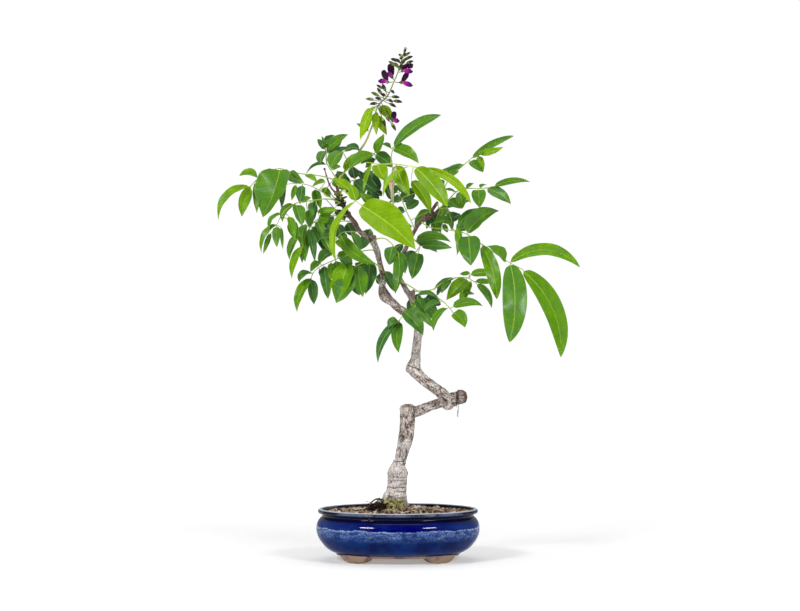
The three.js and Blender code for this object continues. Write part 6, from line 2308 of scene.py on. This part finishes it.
@dataclass(frozen=True)
class HangingTag:
    """Plain card that hangs in the groove of the cut stub on a short, held wire."""

    x: float = 80.0
    y: float = 2.0
    stub_z: float = 217.0
    loop_radius: float = 12.0
    width: float = 43.0
    height: float = 40.0
    thick: float = 0.62
    corner: float = 2.5
    top: float = 197.0
    hole_radius: float = 1.6
    hole_inset: float = 3.4
    crease: float = 40.0
    bow: float = 0.5
    edge: float = 0.12
    card_steps: tuple[int, int] = (96, 14)
    wire_radius: float = 0.32
    wire_turns: tuple[int, int, int] = (-150, 151, 15)
    wire_way: Rows = (
        (1, 4.5, 8.4), (0.5, 3.5, 2.4), (0, 0, -0.2), (-0.5, -3.2, 2.6), (-0.2, -2, 6.4), (0.4, 1.5, 8.9),
    )

    def build(self, paper: Material, wire: Material) -> None:
        """Makes the card and its wire, each in its finish."""
        self.build_card(paper)
        self.build_wire(wire)

    def build_card(self, paper: Material) -> None:
        """Makes the card: a round-cornered sheet with a punched hole, bowed a little.

        Args:
            paper: Its finish.
        """
        sides, steps = self.card_steps
        angles = round_angles(sides)
        hole = np.column_stack([np.cos(angles), np.sin(angles)]) * self.hole_radius + (0.0, -self.hole_inset)
        rim = self.card_rim(angles)
        shares = np.linspace(0, 1, steps)
        sheets = []
        for side, share in (*((-1, share) for share in shares), *((1, share) for share in shares[::-1])):
            flat = hole + (rim - hole) * share
            bow = self.bow * ((flat[:, 0] / (self.width / 2)) ** 2 + (flat[:, 1] / self.height) ** 2)
            edge = self.edge if share in (0.0, 1.0) else 0.0
            depth = self.y - self.loop_radius + side * (self.thick / 2 - edge) - bow
            sheets.append(np.column_stack([self.x + flat[:, 0], depth, self.top + flat[:, 1]]))
        corners = np.vstack(sheets)
        closing = ring_faces(len(sheets) + 1, len(angles), False)
        maker = MeshMaker()
        maker.add(corners, np.array(closing) % len(corners))
        maker.place("tag_card_sheet", paper, "tag_card", ["tag_card"], self.crease)

    def card_rim(self, angles: Array) -> Array:
        """Finds the card's outline at angles round the hole.

        Args:
            angles: The angles.

        Returns:
            Rows of sideways and height.
        """
        start = np.array([0.0, -self.hole_inset])
        ways = np.column_stack([np.cos(angles), np.sin(angles)])
        ways = np.where(np.abs(ways) < 1e-9, 1e-9, ways)
        half = np.array([self.width, self.height]) / 2
        middle = np.array([0.0, -self.height / 2])
        far = (middle + np.sign(ways) * half - start) / ways
        offset = start + ways * far.min(axis=1, keepdims=True) - middle
        inner = half - self.corner
        beyond = np.maximum(np.abs(offset) - inner, 0)
        rounded = np.sign(offset) * (inner + unit(beyond) * self.corner)
        return middle + np.where((beyond > 0).all(axis=1)[:, None], rounded, offset)

    def build_wire(self, wire: Material) -> None:
        """Makes the wire: a loop round the stub that drops through the card's hole and turns up.

        Args:
            wire: Its finish.
        """
        turns = np.arange(*self.wire_turns)
        loop = np.column_stack([turns / 150, np.cos(np.radians(turns)), np.sin(np.radians(turns))])
        loop = loop * (1, self.loop_radius, self.loop_radius) + (self.x, self.y, self.stub_z)
        end = np.array(self.wire_way) + (self.x, self.y - self.loop_radius, self.top - self.hole_inset)
        maker = MeshMaker()
        maker.add_tube(smooth_line([*loop, *end], 6), self.wire_radius, 10)
        maker.place("tag_wire_loop", wire, "tag_wire", ["tag_wire"])


# Studio


@dataclass(frozen=True)
class Studio:
    """Pale floor, soft lights and the camera in front of the tree, in metres."""

    floor_radius: float = 3.0
    floor_z: float = -0.0004
    floor_steps: tuple[int, int] = (96, 24)
    lens: float = 93.6
    sensor: float = 36.0
    lamps: tuple[tuple[str, Row, Row, float], ...] = (
        ("key_left", (-1.5, -1.9, 1.6), (0.66, 0.3), 38.0),
        ("key_right", (1.5, -1.9, 1.6), (0.66, 0.3), 27.0),
        ("sky_light", (0.0, -0.2, 2.2), (1.5, 1.5), 13.0),
    )
    lit_spot: Row = (0.0, 0.0, 0.32)
    sky: Row = (-0.9, 0.2, 0.08, 0.52)
    backdrop: float = 1.02

    def build(self) -> None:
        """Sets up the floor, the lights, the world and the camera."""
        self.add_floor()
        for lamp in self.lamps:
            self.add_lamp(*lamp)
        self.fill_world()
        self.add_camera()
        bpy.context.scene.view_settings.view_transform = "Standard"

    def add_floor(self) -> None:
        """Adds the round floor that the feet stand on."""
        sides, rings = self.floor_steps
        angles = round_angles(sides)
        circle = np.column_stack([np.cos(angles), np.sin(angles), angles * 0])
        reaches = np.linspace(self.floor_radius, 0.02, rings)
        corners = np.vstack([circle * reach + (0, 0, self.floor_z) for reach in reaches])
        maker = MeshMaker()
        maker.add(corners / MM, [*ring_faces(rings, sides, False), range((rings - 1) * sides, rings * sides)])
        floor = linked("studio_floor", maker.mesh("studio_floor"))
        floor.data.materials.append(self.floor_finish())

    def floor_finish(self) -> Material:
        """Builds the matt white of the floor, which glows a little so that it stays white far off, and glows
        less near the middle as a painted shadow round the pot.

        Returns:
            The material.
        """
        skin = Skin("studio_floor", Roughness=0.9, Specular_IOR_Level=0.1, Emission_Color=(255, 255, 255))
        reach = skin.value("VectorMath", "Value", skin.place(), operation="LENGTH")
        # Painted shadow: the glow is weakest near the middle, round the pot.
        skin.feed(skin.shader.inputs["Emission Strength"], reach.band(0.24, 1.5).level(0.27, 0.9))
        return skin.dress(skin.noise(6, 2).mix((231, 231, 231), (236, 236, 236)))

    def add_lamp(self, name: str, spot: Row, size: Row, power: float) -> None:
        """Adds a rectangular light that faces the middle of the tree.

        Args:
            name: Its name.
            spot: Its place.
            size: Width and height.
            power: Watts.
        """
        light = bpy.data.lights.new(name, "AREA")
        light.shape, light.energy = "RECTANGLE", power
        light.size, light.size_y = size
        lamp = linked(name, light)
        lamp.location = spot
        lamp.rotation_euler = (Vector(self.lit_spot) - Vector(spot)).to_track_quat("-Z", "Y").to_euler()

    def fill_world(self) -> None:
        """Lights the world softly, brighter from behind than from the front, before a white backdrop."""
        world = bpy.data.worlds.new("studio_world")
        bpy.context.scene.world = world
        sheet = Sheet(world)
        behind = sheet.value("TexCoord", "Generated").parts()[1]
        sky = sheet.value("Background", 0, (231, 231, 231), sheet.value("MapRange", 0, behind, *self.sky))
        backdrop = sheet.value("Background", 0, (255, 255, 255), self.backdrop)
        shown = sheet.value("MixShader", 0, sheet.value("LightPath", "Is Camera Ray"), sky, backdrop)
        sheet.node("OutputWorld", shown)

    def add_camera(self) -> None:
        """Adds the camera: level, straight in front."""
        view = bpy.data.cameras.new("front_view")
        view.lens, view.sensor_width = self.lens, self.sensor
        holder = linked("front_view", view)
        holder.location = (EYE.x * MM, -EYE.distance * MM, EYE.z * MM)
        holder.rotation_euler = (math.radians(90), 0.0, 0.0)
        bpy.context.scene.camera = holder


# Assembly


def main() -> None:
    """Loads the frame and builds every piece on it."""
    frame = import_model()
    Studio().build()
    OvalPot().build(PotGlaze().material(), PotGlaze(gloss=0.06).material(), CLAY.material())
    DrainScreens().dress(frame["nodes"], SCREEN_PLASTIC.material())
    soil = GritSoil()
    soil.build(Grit().material())
    wood = Wood().build(Bark().material(), CUT_WOOD.material())
    MossPatch().build(wood, soil, Moss().material())
    young, bud_skin, petal = YOUNG_LEAF.material(), BUD_SKIN.material(), Petal().material()
    mature = MATURE_LEAF.material()
    for seed, (node, plan) in enumerate(FRONDS.items(), FIRST_FROND_SEED):
        Frond(plan, seed=seed).build(node, mature, young)
    FlowerShoot().build(GREEN_STEM.material(), young)
    Raceme().build(bud_skin)
    TwigBuds().build(bud_skin)
    for number, plan in enumerate(FLORETS, 1):
        OpenFlower(plan, number).build(petal)
    DriedLeaf().build(DriedSkin().material())
    HangingTag().build(TAG_PAPER.material(), DARK_WIRE.material())


if __name__ == "__main__":
    logging.basicConfig(level=logging.INFO, format="%(message)s")
    main()
